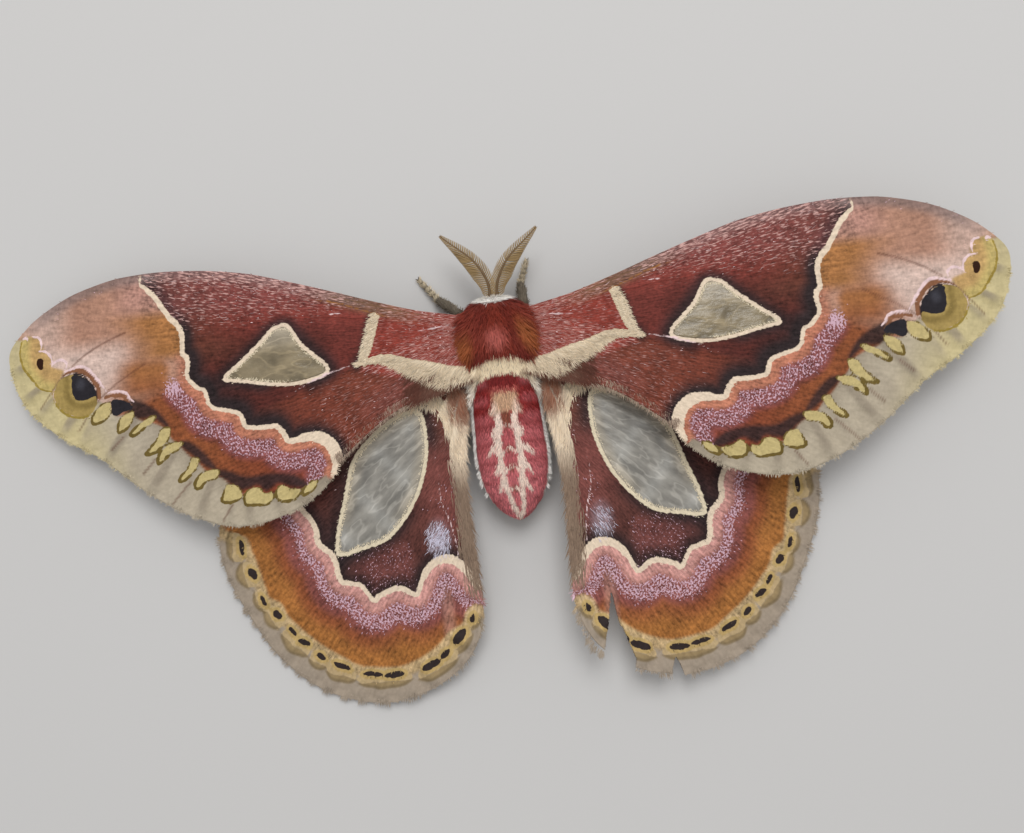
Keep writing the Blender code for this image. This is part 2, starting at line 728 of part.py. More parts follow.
def make_wings(body_cutter):
    """All four wings, in their poses."""
    root_edge_fore = straight_runs([FORE_INNER[-1], FORE_COSTA[0]], OUTLINE_STEP)
    fore = Membrane(
        closed_outline(
            smooth_curve(FORE_COSTA, OUTLINE_STEP),
            smooth_curve(FORE_OUTER, OUTLINE_STEP),
            smooth_curve(FORE_INNER, OUTLINE_STEP),
            root_edge_fore,
        ),
        FORE_VEINS,
        FORE_WINDOW,
    )
    hind_front = [smooth_curve(HIND_COSTA, OUTLINE_STEP), smooth_curve(HIND_OUTER, OUTLINE_STEP)]
    root_edge_hind = straight_runs([HIND_ANAL[-1], HIND_COSTA[0]], OUTLINE_STEP)
    hind_back = [smooth_curve(HIND_ANAL, OUTLINE_STEP), root_edge_hind]
    whole_corner = smooth_curve(HIND_CORNER, OUTLINE_STEP)
    torn_corner = straight_runs(HIND_TORN_CORNER, OUTLINE_STEP)
    hind_whole = Membrane(closed_outline(*hind_front, whole_corner, *hind_back), HIND_VEINS, HIND_WINDOW)
    hind_torn = Membrane(closed_outline(*hind_front, torn_corner, *hind_back), HIND_VEINS, HIND_WINDOW)
    wings = []
    for name, membrane, span in (
        ("forewing_left", fore, FORE_SPAN),
        ("forewing_right", fore, FORE_SPAN),
        ("hindwing_left", hind_whole, HIND_SPAN),
        ("hindwing_right", hind_torn, HIND_SPAN),
    ):
        wings.append(make_wing(name, membrane, WING_POSES[name], span, body_cutter))
    return wings


def main():
    """Builds every sub-part and sets them on the origin."""
    drop(bpy.context.scene.objects)
    body_cutter = make_body_cutter(GAP)
    grown = Vector((GAP, GAP, GAP))
    head_cutter = ellipsoid("head_cutter", HEAD_CENTRE, HEAD_RADII + grown, HEAD_FACES)
    sockets = [make_eye("socket", -1, GAP), make_eye("socket", 1, GAP)]
    nodes = [make_thorax([head_cutter] + sockets), make_abdomen(), make_head(sockets)]
    nodes += [make_eye("eye_left", -1), make_eye("eye_right", 1)]
    nodes.append(make_antenna("antenna_left", ANTENNA_LEFT, head_cutter))
    nodes.append(make_antenna("antenna_right", ANTENNA_RIGHT, head_cutter))
    for name, joints in LEGS.items():
        nodes.append(make_leg(name, joints, body_cutter))
    nodes += make_wings(body_cutter)
    drop([body_cutter, head_cutter] + sockets)
    stand = bpy.data.objects.new("moth", None)
    stand.location = (0.0, BELLY_BACK * MM, 0.0)
    bpy.context.scene.collection.objects.link(stand)
    for node in nodes:
        finish(node)
        node.parent = stand


main()
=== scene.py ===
"""Render scene of a rothschildia moth: scaled wings, a furred body and combed antennae, life-size."""

import logging
import math
from dataclasses import dataclass, field
from enum import Enum

import bpy
import numpy as np
from mathutils import Matrix, Vector


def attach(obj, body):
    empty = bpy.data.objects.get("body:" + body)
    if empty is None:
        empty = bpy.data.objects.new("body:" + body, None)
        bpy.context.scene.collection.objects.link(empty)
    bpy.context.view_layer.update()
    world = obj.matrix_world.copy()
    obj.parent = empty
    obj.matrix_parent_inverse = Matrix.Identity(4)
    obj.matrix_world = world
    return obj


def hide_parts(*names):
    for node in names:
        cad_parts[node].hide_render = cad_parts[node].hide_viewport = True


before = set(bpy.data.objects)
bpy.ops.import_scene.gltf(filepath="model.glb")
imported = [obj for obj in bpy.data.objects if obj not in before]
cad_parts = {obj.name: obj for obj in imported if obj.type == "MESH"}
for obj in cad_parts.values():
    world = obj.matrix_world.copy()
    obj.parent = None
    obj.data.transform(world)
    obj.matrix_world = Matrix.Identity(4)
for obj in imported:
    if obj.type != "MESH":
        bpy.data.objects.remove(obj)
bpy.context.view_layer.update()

LOG = logging.getLogger("moth")
MM = 0.001
# The solids' frame has the belly's rest at its origin, which lies this far behind the hinges
BELLY_BACK = 12.5
FULL_TRIES = 11000

Points = np.ndarray
Amounts = np.ndarray


def to_linear(colour: tuple) -> np.ndarray:
    """An 8-bit sRGB colour as scene-linear RGB."""
    share = np.array(colour, float) / 255.0
    return np.where(share <= 0.04045, share / 12.92, ((share + 0.055) / 1.055) ** 2.4)


class Tinted(Enum):
    """Named colours, as 8-bit sRGB."""

    def linear(self) -> np.ndarray:
        """Colour as scene-linear RGB."""
        return to_linear(self.value)


class Tint(Tinted):
    """Named colours of the scales."""

    BRICK = (132, 56, 46)
    MAROON = (84, 40, 34)
    CRIMSON_BROWN = (124, 56, 48)
    SOOT = (44, 34, 35)
    UMBER = (92, 54, 40)
    RUST = (118, 60, 44)
    COSTAL_GREY = (126, 108, 104)
    COSTAL_BROWN = (120, 88, 66)
    CREAM = (228, 208, 184)
    BAND_CREAM = (204, 186, 158)
    RIM_CREAM = (222, 208, 180)
    GLINT = (212, 168, 160)
    FLUFF = (222, 206, 182)
    BEIGE = (158, 134, 114)
    DUN = (96, 58, 47)
    SALMON = (182, 118, 94)
    ROSE_BROWN = (126, 72, 70)
    LILAC = (212, 176, 190)
    OXBLOOD = (122, 58, 40)
    TAWNY = (136, 80, 46)
    OCHRE = (160, 108, 62)
    PEACH = (168, 126, 106)
    PALE_PEACH = (206, 180, 168)
    PINK_PEACH = (176, 132, 120)
    PUPIL = (40, 37, 42)
    PUPIL_SHEEN = (88, 88, 98)
    RING = (166, 142, 84)
    OLIVE = (108, 90, 44)
    OLIVE_SOFT = (156, 134, 62)
    ARCH_BROWN = (136, 92, 66)
    SHELL_PINK = (232, 204, 204)
    APEX_OCHRE = (184, 150, 98)
    APEX_LEMON = (190, 172, 108)
    APEX_SPOT = (48, 24, 12)
    PALE_LEMON = (198, 184, 138)
    MARGIN = (176, 164, 144)
    MARGIN_SHADE = (140, 128, 112)
    TOOTH = (194, 176, 122)
    HIND_MAROON = (92, 54, 48)
    HIND_RED = (118, 68, 62)
    HIND_FRONT = (106, 62, 50)
    HIND_OCHRE = (158, 104, 52)
    HIND_TAWNY = (140, 82, 50)
    HIND_CREAM = (188, 164, 124)
    HIND_SPOT = (50, 41, 40)
    SCALLOP = (150, 128, 90)
    SCALLOP_EDGE = (122, 104, 72)
    HIND_MARGIN = (158, 144, 128)
    HIND_SALMON = (194, 142, 134)
    HIND_RING = (188, 160, 106)
    HAIR_GREY = (168, 150, 132)
    BLUE_WHITE = (184, 180, 194)
    FORE_GLASS = (134, 120, 94)
    FORE_GLASS_PALE = (176, 164, 144)
    HIND_GLASS = (142, 138, 130)
    # Pale streaks painted across the hind window as highlights of its creases
    HIND_GLASS_GLINT = (168, 166, 160)


def spline(points: list, step: float = 0.4, closed: bool = False) -> Points:
    """Points about one step apart on a smooth curve through the given ones.

    Args:
        points: Control points, all of one dimension.
        step: Distance between the points that come out.
        closed: Whether the curve runs back to its start.

    Returns:
        The curve's points, one a row.
    """
    knots = np.array(points, float)
    if closed:
        knots = np.vstack([knots[-1:], knots, knots[:2]])
    else:
        knots = np.vstack([2 * knots[:1] - knots[1:2], knots, 2 * knots[-1:] - knots[-2:-1]])
    out = []
    for a, b, c, d in zip(knots, knots[1:], knots[2:], knots[3:]):
        count = max(1, round(float(np.linalg.norm(c - b)) / step))
        t1 = math.sqrt(np.linalg.norm(b - a))
        t2 = t1 + math.sqrt(np.linalg.norm(c - b))
        t3 = t2 + math.sqrt(np.linalg.norm(d - c))
        t = (t1 + (t2 - t1) * np.arange(count) / count)[:, None]
        ab = a + (b - a) * t / t1
        bc = b + (c - b) * (t - t1) / (t2 - t1)
        cd = c + (d - c) * (t - t2) / (t3 - t2)
        abc = ab + (bc - ab) * t / t2
        bcd = bc + (cd - bc) * (t - t1) / (t3 - t1)
        out.append(abc + (bcd - abc) * (t - t1) / (t2 - t1))
    if not closed:
        out.append(knots[-2:-1])
    return np.vstack(out)


def read_off(at: Amounts, share: Amounts, rows: Points) -> Points:
    """Rows of three numbers given at shares of a length, read off at other shares."""
    return np.column_stack([np.interp(at, share, rows[:, k]) for k in range(3)])


def smooth(low: float, high: float, value: Amounts) -> Amounts:
    """Rises smoothly from 0 at low to 1 at high, or falls where low is the larger."""
    share = np.clip((value - low) / (high - low), 0.0, 1.0)
    return share * share * (3.0 - 2.0 * share)


class Route:
    """A smooth line or loop laid on a wing's plane, for finding how far points lie from it."""

    def __init__(self, points: list, closed: bool = False, step: float = 0.4) -> None:
        """Lays the line through its control points.

        Args:
            points: Control points in millimetres.
            closed: Whether it is a loop.
            step: Spacing of its points.
        """
        self.points = spline(points, step, closed)
        self.closed = closed

    @classmethod
    def ring(cls, points: Points) -> "Route":
        """A loop with straight runs between the given points."""
        loop = cls.__new__(cls)
        loop.points = np.asarray(points, float)
        loop.closed = True
        return loop

    def nearest(self, places: Points) -> tuple[Amounts, Amounts]:
        """Finds the nearest spot of the line to each place.

        Args:
            places: Points in the wing's plane.

        Returns:
            The distance, and how far along the line the spot is, from 0 to 1.
        """
        ends = np.vstack([self.points, self.points[:1]]) if self.closed else self.points
        best = np.full(len(places), np.inf)
        along = np.zeros(len(places))
        for i, (a, b) in enumerate(zip(ends, ends[1:])):
            run = b - a
            share = np.clip(((places - a) @ run) / max(run @ run, 1e-12), 0.0, 1.0)
            away = np.hypot(*(places - a - share[:, None] * run).T)
            closer = away < best
            best[closer] = away[closer]
            along[closer] = (i + share[closer]) / (len(ends) - 1)
        return best, along

    def distance(self, places: Points) -> Amounts:
        """Distance from each place to the line."""
        return self.nearest(places)[0]

    def holds(self, places: Points) -> np.ndarray:
        """Whether each place lies within the loop."""
        odd = np.zeros(len(places), bool)
        x, y = places.T
        for a, b in zip(self.points, np.roll(self.points, -1, axis=0)):
            if a[1] != b[1]:
                crosses = (a[1] > y) != (b[1] > y)
                odd ^= crosses & (x < a[0] + (y - a[1]) * (b[0] - a[0]) / (b[1] - a[1]))
        return odd

    def depth(self, places: Points) -> Amounts:
        """Distance to the loop, above zero within it and below zero outside."""
        return self.distance(places) * np.where(self.holds(places), 1.0, -1.0)

    def stripe(self, places: Points, widths: tuple) -> Amounts:
        """How deep each place lies in a stripe along the line, below zero outside.

        Args:
            places: Points in the wing's plane.
            widths: The stripe's half widths at even shares of its length.

        Returns:
            The depth in millimetres.
        """
        away, along = self.nearest(places)
        return np.interp(along, np.linspace(0.0, 1.0, len(widths)), widths) - away


@dataclass
class Paint:
    """Colours and marks of many points of a wing.

    The ground is the soft colour of the field. Each mark layer holds a colour and the depth of the
    point in its nearest mark, so that a material can draw crisp, ragged edges.
    """

    ground: np.ndarray
    mark: np.ndarray = field(init=False)
    mark_depth: np.ndarray = field(init=False)
    spot: np.ndarray = field(init=False)
    spot_depth: np.ndarray = field(init=False)
    bare: np.ndarray = field(init=False)
    lilac: np.ndarray = field(init=False)
    frost: np.ndarray = field(init=False)
    satin: np.ndarray = field(init=False)

    def __post_init__(self) -> None:
        """Starts every layer empty."""
        count = len(self.ground)
        far = -5.0
        self.mark = self.ground.copy()
        self.spot = self.ground.copy()
        self.mark_depth = np.full(count, far)
        self.spot_depth = np.full(count, far)
        self.bare = np.full(count, far)
        self.lilac = np.zeros(count)
        self.frost = np.zeros(count)
        self.satin = np.zeros(count)

    def wash(self, tint: Tint, amount: Amounts) -> None:
        """Blends a colour into the ground by an amount from 0 to 1."""
        share = np.clip(amount, 0.0, 1.0)[:, None]
        self.ground = self.ground * (1.0 - share) + tint.linear() * share

    def seen(self, rng: np.random.Generator) -> np.ndarray:
        """Picks the colour that a scale at each point has.

        Args:
            rng: Source of the speckles.

        Returns:
            Linear colours, one a row.
        """
        out = self.ground.copy()
        out[rng.random(len(out)) < 0.6 * self.lilac] = Tint.LILAC.linear()
        out[rng.random(len(out)) < 0.22 * self.frost] = Tint.SHELL_PINK.linear()
        marked = self.mark_depth > 0.0
        out[marked] = self.mark[marked]
        spotted = self.spot_depth > 0.0
        out[spotted] = self.spot[spotted]
        return out

    def lay_mark(self, tint: Tint, depth: Amounts) -> None:
        """Lays a crisp mark of one colour."""
        self._lay(self.mark, self.mark_depth, tint, depth)

    def lay_spot(self, tint: Tint, depth: Amounts) -> None:
        """Lays a crisp spot or line over the marks."""
        self._lay(self.spot, self.spot_depth, tint, depth)

    @staticmethod
    def _lay(colours: np.ndarray, depths: np.ndarray, tint: Tint, depth: Amounts) -> None:
        """Takes a colour where a mark is deeper than those laid before, or where it covers them."""
        taken = (depth > 0.0) | (depth > depths)
        colours[taken] = tint.linear()
        depths[taken] = np.maximum(depths, depth)[taken]


def folds(along: Amounts) -> Amounts:
    """Uneven waves of a margin, by the share of its length."""
    return np.sin(along * 2.0 * math.pi * 15.0) + 0.5 * np.sin(along * 2.0 * math.pi * 23.0 + 1.0)


def blob(centre: tuple, length: float, width: float, turn: float) -> list:
    """Control points of an oval mark.

    Args:
        centre: Its middle.
        length: Its full length.
        width: Its full width.
        turn: Angle of its length from the u axis, in degrees.

    Returns:
        Eight points round it.
    """
    c, s = math.cos(math.radians(turn)), math.sin(math.radians(turn))
    out = []
    for k in range(8):
        x = length / 2 * math.cos(math.pi * k / 4)
        y = width / 2 * math.sin(math.pi * k / 4)
        out.append((centre[0] + c * x - s * y, centre[1] + s * x + c * y))
    return out


class ForePattern:
    """Colours of a forewing, laid out in millimetres on its plane."""

    COSTA = [(-2.6, 0.9), (0.0, 1.6), (5.0, 2.8), (10.0, 4.4), (20.0, 7.9), (27.5, 10.2), (35.0, 11.4),
             (42.0, 11.7), (48.0, 10.9), (53.5, 9.0), (58.0, 6.1), (60.1, 3.5), (60.4, 1.2)]
    OUTER = [(60.4, 1.2), (59.3, -2.3), (57.0, -5.6), (52.5, -9.2), (47.8, -12.0), (42.0, -16.7),
             (36.5, -20.1), (30.5, -22.1), (25.5, -21.7), (20.5, -19.8), (17.2, -17.0), (16.3, -15.2)]
    INNER = [(16.3, -15.2), (15.0, -14.1), (10.2, -10.5), (5.6, -8.2), (2.2, -6.9), (-2.6, -5.4)]
    # The cream line between the dark middle and the light outer field, from the front edge back
    LINE = [(41.3, 11.6), (41.5, 10.5), (40.7, 9.7), (39.6, 8.6), (38.9, 7.5), (38.2, 6.4), (37.6, 5.5),
            (36.9, 4.8), (36.3, 3.9), (36.0, 2.8), (36.1, 1.4), (36.0, 0.5), (35.5, 0.0), (35.4, -0.9),
            (35.6, -1.8), (35.5, -2.7), (35.0, -3.4), (34.2, -4.1), (33.4, -4.6), (33.1, -5.5),
            (32.8, -6.4), (32.3, -6.9), (31.2, -7.2), (29.8, -7.6), (28.9, -8.0), (28.5, -8.8),
            (28.3, -9.6), (27.4, -9.9), (25.9, -10.0), (24.4, -10.0), (23.7, -10.4), (23.2, -11.2),
            (22.8, -11.9), (22.1, -12.1), (21.2, -11.9), (20.1, -11.8), (18.9, -11.9), (17.9, -12.4),
            (17.1, -13.3), (16.7, -14.4), (16.6, -15.6), (17.0, -16.8)]
    LINE_WIDTHS = (0.1, 0.4, 0.4, 0.42, 0.4, 0.36, 0.32, 0.3, 0.32, 0.34, 0.36, 0.4, 0.46, 0.8, 0.85, 0.7)
    WINDOW = [(30.6, -3.3), (28.1, -1.2), (25.7, 0.8), (23.7, 2.6), (22.0, 2.7), (20.3, 0.1), (17.0, -3.6),
              (20.4, -4.8), (23.4, -4.8), (28.0, -3.9)]
    BAR = [(10.5, 2.6), (11.0, 1.2), (11.4, 0.0), (11.8, -1.3), (12.4, -2.6), (13.0, -3.2)]
    BAND = [(13.2, -3.3), (11.6, -3.0), (10.2, -2.8), (8.4, -3.2), (6.6, -3.9), (4.8, -4.4), (3.2, -5.0),
            (1.6, -5.6), (-1.0, -5.9)]
    # Edge of the coloured field, behind which the pale margin begins
    FIELD_EDGE = [(18.2, -16.9), (19.8, -17.6), (21.3, -18.4), (23.0, -18.2), (25.0, -18.6), (27.5, -18.3),
                  (29.2, -18.2), (30.6, -17.0), (31.8, -15.9), (33.4, -15.2), (34.6, -13.9), (35.9, -12.7),
                  (36.9, -11.6), (38.2, -10.2), (38.9, -9.0), (40.3, -8.1), (42.4, -7.4), (43.6, -6.6),
                  (45.6, -6.5), (46.6, -5.4), (48.1, -4.4), (49.6, -6.0), (51.5, -6.1), (53.2, -5.1),
                  (54.2, -3.4), (54.6, -2.5), (56.0, -2.0), (57.3, -0.6), (58.3, 1.2), (58.7, 3.0),
                  (58.6, 4.8)]
    SCALLOPS = [
        [(43.0, -5.0), (43.5, -4.5), (44.0, -3.7), (44.8, -3.4), (45.9, -3.35), (46.7, -3.5)],
        [(46.6, -3.5), (47.1, -2.6), (47.8, -1.6), (48.7, -0.5), (49.5, 0.25), (50.4, 0.5), (51.3, 0.35),
         (52.2, 0.1), (52.6, 0.0)],
        [(52.4, 0.3), (52.1, 0.9), (52.4, 1.4), (53.1, 1.65), (53.8, 1.4), (54.2, 1.1)],
        [(54.3, 0.9), (54.2, 1.6), (54.5, 2.4), (55.2, 3.0), (56.1, 3.15)],
        [(55.7, 3.4), (55.7, 4.2), (56.1, 5.0), (56.8, 5.2)],
        [(57.6, 4.7), (57.8, 5.2), (58.3, 5.0)],
    ]
    EYESPOT = [(48.2, -3.5), (48.3, -2.6), (49.1, -1.6), (50.0, -0.9), (51.0, -0.5), (51.6, -0.7),
               (51.55, -1.4), (51.6, -2.3), (51.4, -3.3), (50.9, -3.95), (50.1, -4.1), (49.1, -3.95)]
    EYE_RING = [(48.0, -3.9), (49.3, -1.4), (51.0, -0.4), (52.9, -0.7), (53.8, -1.7), (54.15, -2.9),
                (53.8, -4.2), (52.9, -5.3), (51.6, -6.0), (50.2, -6.3), (49.0, -6.0), (48.2, -5.0)]
    ARCH = [(48.1, -4.3), (48.2, -3.0), (49.0, -1.7), (50.0, -0.75), (51.0, -0.4), (52.1, -0.5), (53.1, -0.9)]
    SECOND_SPOT = [(43.2, -5.4), (44.1, -4.8), (45.2, -4.4), (46.1, -4.5), (46.15, -5.4), (46.05, -6.3),
                   (45.5, -6.6), (44.4, -6.1), (43.2, -5.9)]
    APEX_SPOT = [(55.45, 1.9), (55.9, 2.25), (56.35, 1.9), (56.4, 1.2), (56.1, 0.6), (55.6, 0.7), (55.4, 1.3)]
    TEETH = [
        [(19.3, -17.3), (20.3, -17.4), (21.2, -18.3), (21.3, -19.0), (20.5, -18.8), (19.6, -18.1)],
        [(21.4, -18.2), (22.8, -18.0), (24.0, -17.4), (24.7, -18.3), (24.5, -19.3), (23.4, -19.6),
         (22.0, -19.2)],
        [(25.1, -18.2), (26.2, -18.3), (26.9, -17.5), (28.2, -17.6), (28.9, -18.6), (28.8, -19.5),
         (27.3, -19.7), (25.9, -19.7), (25.1, -19.1)],
        [(29.2, -17.9), (29.8, -17.0), (30.5, -16.8), (31.2, -16.8), (31.6, -17.8), (32.0, -18.7),
         (31.2, -19.1), (29.9, -18.9), (29.1, -18.5)],
        [(32.0, -14.8), (33.4, -14.7), (34.6, -15.2), (35.3, -16.2), (35.3, -16.9), (34.7, -16.9),
         (33.6, -16.1), (32.3, -15.8)],
        [(34.6, -13.1), (35.5, -12.9), (36.2, -14.2), (37.3, -15.3), (37.4, -15.9), (36.7, -15.8),
         (35.6, -15.0), (34.8, -14.1)],
        [(36.5, -10.9), (37.8, -10.7), (39.2, -11.3), (40.1, -12.4), (40.2, -13.3), (39.5, -13.1),
         (38.4, -12.2), (37.2, -11.7)],
        [(38.2, -8.8), (39.5, -8.9), (40.2, -10.3), (41.4, -11.5), (41.7, -12.0), (40.8, -12.0),
         (39.3, -11.1), (38.4, -10.1)],
        [(40.1, -7.0), (41.8, -7.5), (43.2, -8.5), (43.8, -9.3), (43.1, -9.3), (41.8, -8.6), (40.5, -8.0)],
        [(43.0, -6.2), (44.8, -6.7), (45.4, -7.9), (45.3, -8.8), (44.4, -8.5), (43.4, -7.5)],
        [(46.2, -4.7), (47.6, -4.9), (48.9, -6.5), (48.7, -7.3), (47.4, -7.1), (46.3, -6.2)],
    ]
    DARK_BASES = [
        [(20.8, -17.8), (22.8, -17.6), (24.4, -17.0), (26.0, -17.8), (27.0, -17.0), (29.2, -17.4),
         (30.4, -16.6), (32.2, -15.0), (31.0, -15.2), (28.5, -16.2), (25.0, -16.1), (22.0, -16.7)],
        [(32.6, -14.6), (34.2, -13.6), (35.4, -12.4), (37.0, -11.0), (36.2, -10.9), (34.4, -12.2)],
        [(38.6, -8.6), (40.4, -7.2), (42.4, -7.0), (43.6, -6.4), (43.4, -4.9), (42.0, -5.3), (40.0, -6.6)],
    ]
    VEIN_LINES = [
        [(43.8, 4.2), (47.5, 2.9), (50.0, 1.6), (51.4, 0.6)],
        [(41.2, -0.2), (43.8, -1.5), (46.0, -2.9), (48.2, -4.6), (51.0, -8.0)],
        [(52.6, -0.4), (54.6, -2.6), (56.0, -4.6)],
        [(44.6, -9.4), (46.2, -11.0)],
        [(40.4, -12.6), (42.2, -14.4)],
        [(35.8, -16.0), (38.4, -18.6)],
        [(30.4, -19.4), (31.8, -21.2)],
    ]
    CREASES = [[(19.4, -1.3), (22.5, -1.9), (25.4, -2.5)], [(22.0, 1.3), (22.9, 1.2), (23.6, 0.8)],
               [(21.6, -3.9), (23.0, -2.6), (24.2, -0.8)]]
    VEINS = [
        [(0.0, 0.3), (12.0, 4.0), (28.0, 9.3), (42.0, 10.6)],
        [(0.0, -0.4), (12.0, 2.6), (22.0, 4.2), (34.0, 6.4), (46.0, 7.3), (57.5, 4.8)],
        [(23.0, 4.2), (32.0, 2.6), (44.0, 1.4), (58.3, -1.6)],
        [(31.8, -3.0), (42.0, -4.2), (54.6, -6.9)],
        [(29.0, -4.9), (38.0, -7.4), (49.0, -10.4)],
        [(0.0, -1.8), (12.0, -3.2), (18.5, -5.4), (25.0, -7.7), (34.0, -12.4), (42.0, -15.6)],
        [(16.5, -4.8), (24.0, -11.0), (34.5, -20.0)],
        [(1.0, -3.6), (10.0, -8.4), (17.5, -13.4), (24.0, -20.4)],
    ]
    STREAKS = [
        (Tint.SHELL_PINK, [(12.6, -3.1), (14.6, -3.4), (17.0, -4.0), (19.4, -4.9), (22.6, -6.4)]),
        (Tint.OCHRE, [(8.6, 2.3), (12.0, 3.6), (15.0, 4.8), (20.0, 6.2)]),
        (Tint.COSTAL_BROWN, [(3.0, 1.7), (8.0, 3.2), (13.0, 4.9), (18.0, 6.4)]),
        (Tint.SHELL_PINK, [(1.2, 0.5), (3.0, 0.3), (5.4, 0.2)]),
        (Tint.SHELL_PINK, [(14.6, 3.4), (15.7, 3.6), (16.8, 3.4)]),
    ]

    def __init__(self) -> None:
        """Lays out every line and loop of the pattern."""
        self.costa = Route(self.COSTA)
        self.outer_edge = Route(self.OUTER)
        self.line = Route(self.LINE, step=0.3)
        beyond = [(17.4, -24.0), (40.0, -28.0), (64.0, -8.0), (64.0, 16.0), (43.0, 16.0)]
        self.outer_field = Route.ring(np.vstack([self.line.points, beyond]))
        self.window = Route(self.WINDOW, closed=True)
        self.bar = Route(self.BAR)
        self.band = Route(self.BAND)
        self.field_edge = Route(self.FIELD_EDGE, step=0.3)
        around = [(64.0, 6.0), (64.0, -8.0), (44.0, -26.0), (16.0, -26.0), (15.0, -18.5)]
        self.margin_field = Route.ring(np.vstack([self.field_edge.points, around]))
        self.scallops = [Route(points, step=0.2) for points in self.SCALLOPS]
        self.teeth = [Route(points, closed=True, step=0.3) for points in self.TEETH]

    def paint(self, p: Points) -> Paint:
        """Colours every point of the wing.

        Args:
            p: Points in the wing's plane, in millimetres.

        Returns:
            Their colours and marks.
        """
        u, v = p.T
        done = Paint(np.tile(Tint.MAROON.linear(), (len(p), 1)))
        past_line = self.outer_field.depth(p)
        from_costa = self.costa.distance(p)
        self._paint_inner(done, u, v, past_line, from_costa, p)
        self._paint_outer(done, u, v, past_line, from_costa, p)
        self._paint_marks(done, u, v, p)
        done.lilac *= smooth(0.2, 0.6, past_line)
        return done

    def _paint_inner(self, done: Paint, u: Amounts, v: Amounts, past_line: Amounts, from_costa: Amounts,
                     p: Points) -> None:
        """Colours the field between the body and the cream line."""
        axis = -3.3 - 0.34 * (u - 13.0)
        ahead = smooth(-1.0, 1.5, v - np.minimum(axis, -2.6))
        done.wash(Tint.UMBER, smooth(24.0, 34.0, u) * smooth(-3.0, 2.0, v) * 0.7)
        done.wash(Tint.CRIMSON_BROWN, smooth(0.0, 4.5, v) * smooth(42.0, 24.0, u) * 0.85)
        done.wash(Tint.CRIMSON_BROWN, smooth(11.0, 13.0, u) * smooth(18.5, 15.0, u) * ahead * 0.5)
        behind = smooth(0.6, -0.8, v - axis) * smooth(36.0, 22.0, u)
        done.wash(Tint.RUST, behind * 0.75)
        done.wash(Tint.HIND_RED, behind * smooth(3.5, 0.0, np.abs(v + 6.6 + 0.5 * (u - 7.0)))
                  * smooth(15.0, 9.0, u) * 0.6)
        from_window = -self.window.depth(p)
        done.wash(Tint.SOOT, smooth(1.9, 0.3, from_window) * smooth(18.0, 21.0, u + v) * 0.85)
        done.wash(Tint.SOOT, smooth(2.4, 0.3, from_window) * smooth(4.5, 2.0, v) * smooth(21.0, 19.0, u)
                  * 0.9)
        done.wash(Tint.SOOT, smooth(1.8, 0.1, np.abs(v - axis + 1.6 - 0.1 * (u - 22.0)))
                  * smooth(22.0, 26.0, u) * 0.45)
        inner_reach = np.interp(v, [-16.0, -11.0, -7.0, -3.0, 2.0, 7.0, 11.0],
                                [3.0, 2.7, 3.2, 3.6, 2.6, 2.5, 3.0])
        done.wash(Tint.SOOT, smooth(inner_reach, 0.3 * inner_reach, -past_line))
        done.wash(Tint.SOOT, smooth(1.7, 0.3, self.bar.distance(p))
                  * smooth(-0.3, 0.5, u - 11.3 + 0.38 * v) * 0.9)
        # Dark behind the band: partly the wing's dark scales and partly a painted shadow of the band's hair.
        done.wash(Tint.SOOT, smooth(1.9, 0.5, self.band.distance(p))
                  * smooth(-3.2, -4.6, v + 0.3 * (u - 9.0)) * 0.6)
        basal = (smooth(0.3, -0.3, u - 11.2 + 0.38 * v) * smooth(-5.4, -4.4, v + 0.28 * (10.0 - u))
                 * (past_line < 0))
        done.wash(Tint.BRICK, basal)
        strip = smooth(2.3, 0.9, from_costa) * smooth(3.0, 9.0, u)
        done.wash(Tint.COSTAL_BROWN, strip * smooth(22.0, 14.0, u) * 0.8)
        done.wash(Tint.COSTAL_GREY, smooth(1.9, 0.5, from_costa) * smooth(8.0, 16.0, u)
                  * (0.5 + 0.4 * smooth(18.0, 26.0, u)))
        done.wash(Tint.ROSE_BROWN, smooth(3.5, 7.0, v) * smooth(14.0, 20.0, u) * smooth(42.0, 36.0, u) * 0.45)
        done.frost += 0.5 * basal
        done.frost += 0.45 * behind * smooth(24.0, 14.0, u)
        done.frost += 0.7 * smooth(1.5, 5.5, v) * smooth(12.0, 16.0, u)
        done.frost += 0.5 * smooth(2.4, 0.8, from_costa) * smooth(45.0, 30.0, u)
        done.frost *= smooth(0.4, -0.4, past_line)

    def _paint_outer(self, done: Paint, u: Amounts, v: Amounts, past_line: Amounts, from_costa: Amounts,
                     p: Points) -> None:
        """Colours the field past the cream line, the apex and the pale margin."""
        out = smooth(-0.15, 0.15, past_line)
        apical = smooth(-1.6, 1.2, v + 3.4 - 0.42 * (39.0 - u)) * out
        rear = out * (1.0 - apical)
        done.wash(Tint.OXBLOOD, rear)
        done.wash(Tint.TAWNY, rear * smooth(3.2, 4.6, past_line) * smooth(20.0, 36.0, u) * 0.75)
        done.wash(Tint.ROSE_BROWN, rear * smooth(0.7, 1.3, past_line) * smooth(4.6, 3.4, past_line))
        done.wash(Tint.SALMON, rear * smooth(1.7, 1.0, past_line))
        done.lilac += 0.9 * rear * smooth(0.9, 1.7, past_line) * smooth(4.4, 3.3, past_line)
        done.wash(Tint.PEACH, apical)
        done.wash(Tint.PALE_PEACH, apical * smooth(42.0, 47.0, u + 0.5 * v) * smooth(4.5, 1.0, v))
        done.wash(Tint.PALE_PEACH, apical * smooth(50.0, 55.0, u) * 0.6)
        done.wash(Tint.PINK_PEACH, apical * smooth(5.0, 8.5, v) * smooth(47.0, 42.0, u) * 0.8)
        ochre = smooth(8.0, 2.5, past_line) * smooth(7.2, 5.2, v) * smooth(-0.6, 1.2, v)
        done.wash(Tint.OCHRE, apical * ochre * 0.95)
        lower_ochre = (smooth(-5.5, -3.0, v) * smooth(1.0, -1.0, v) * smooth(46.0, 42.0, u)
                       * smooth(2.0, 3.4, past_line))
        done.wash(Tint.TAWNY, out * lower_ochre * 0.9)
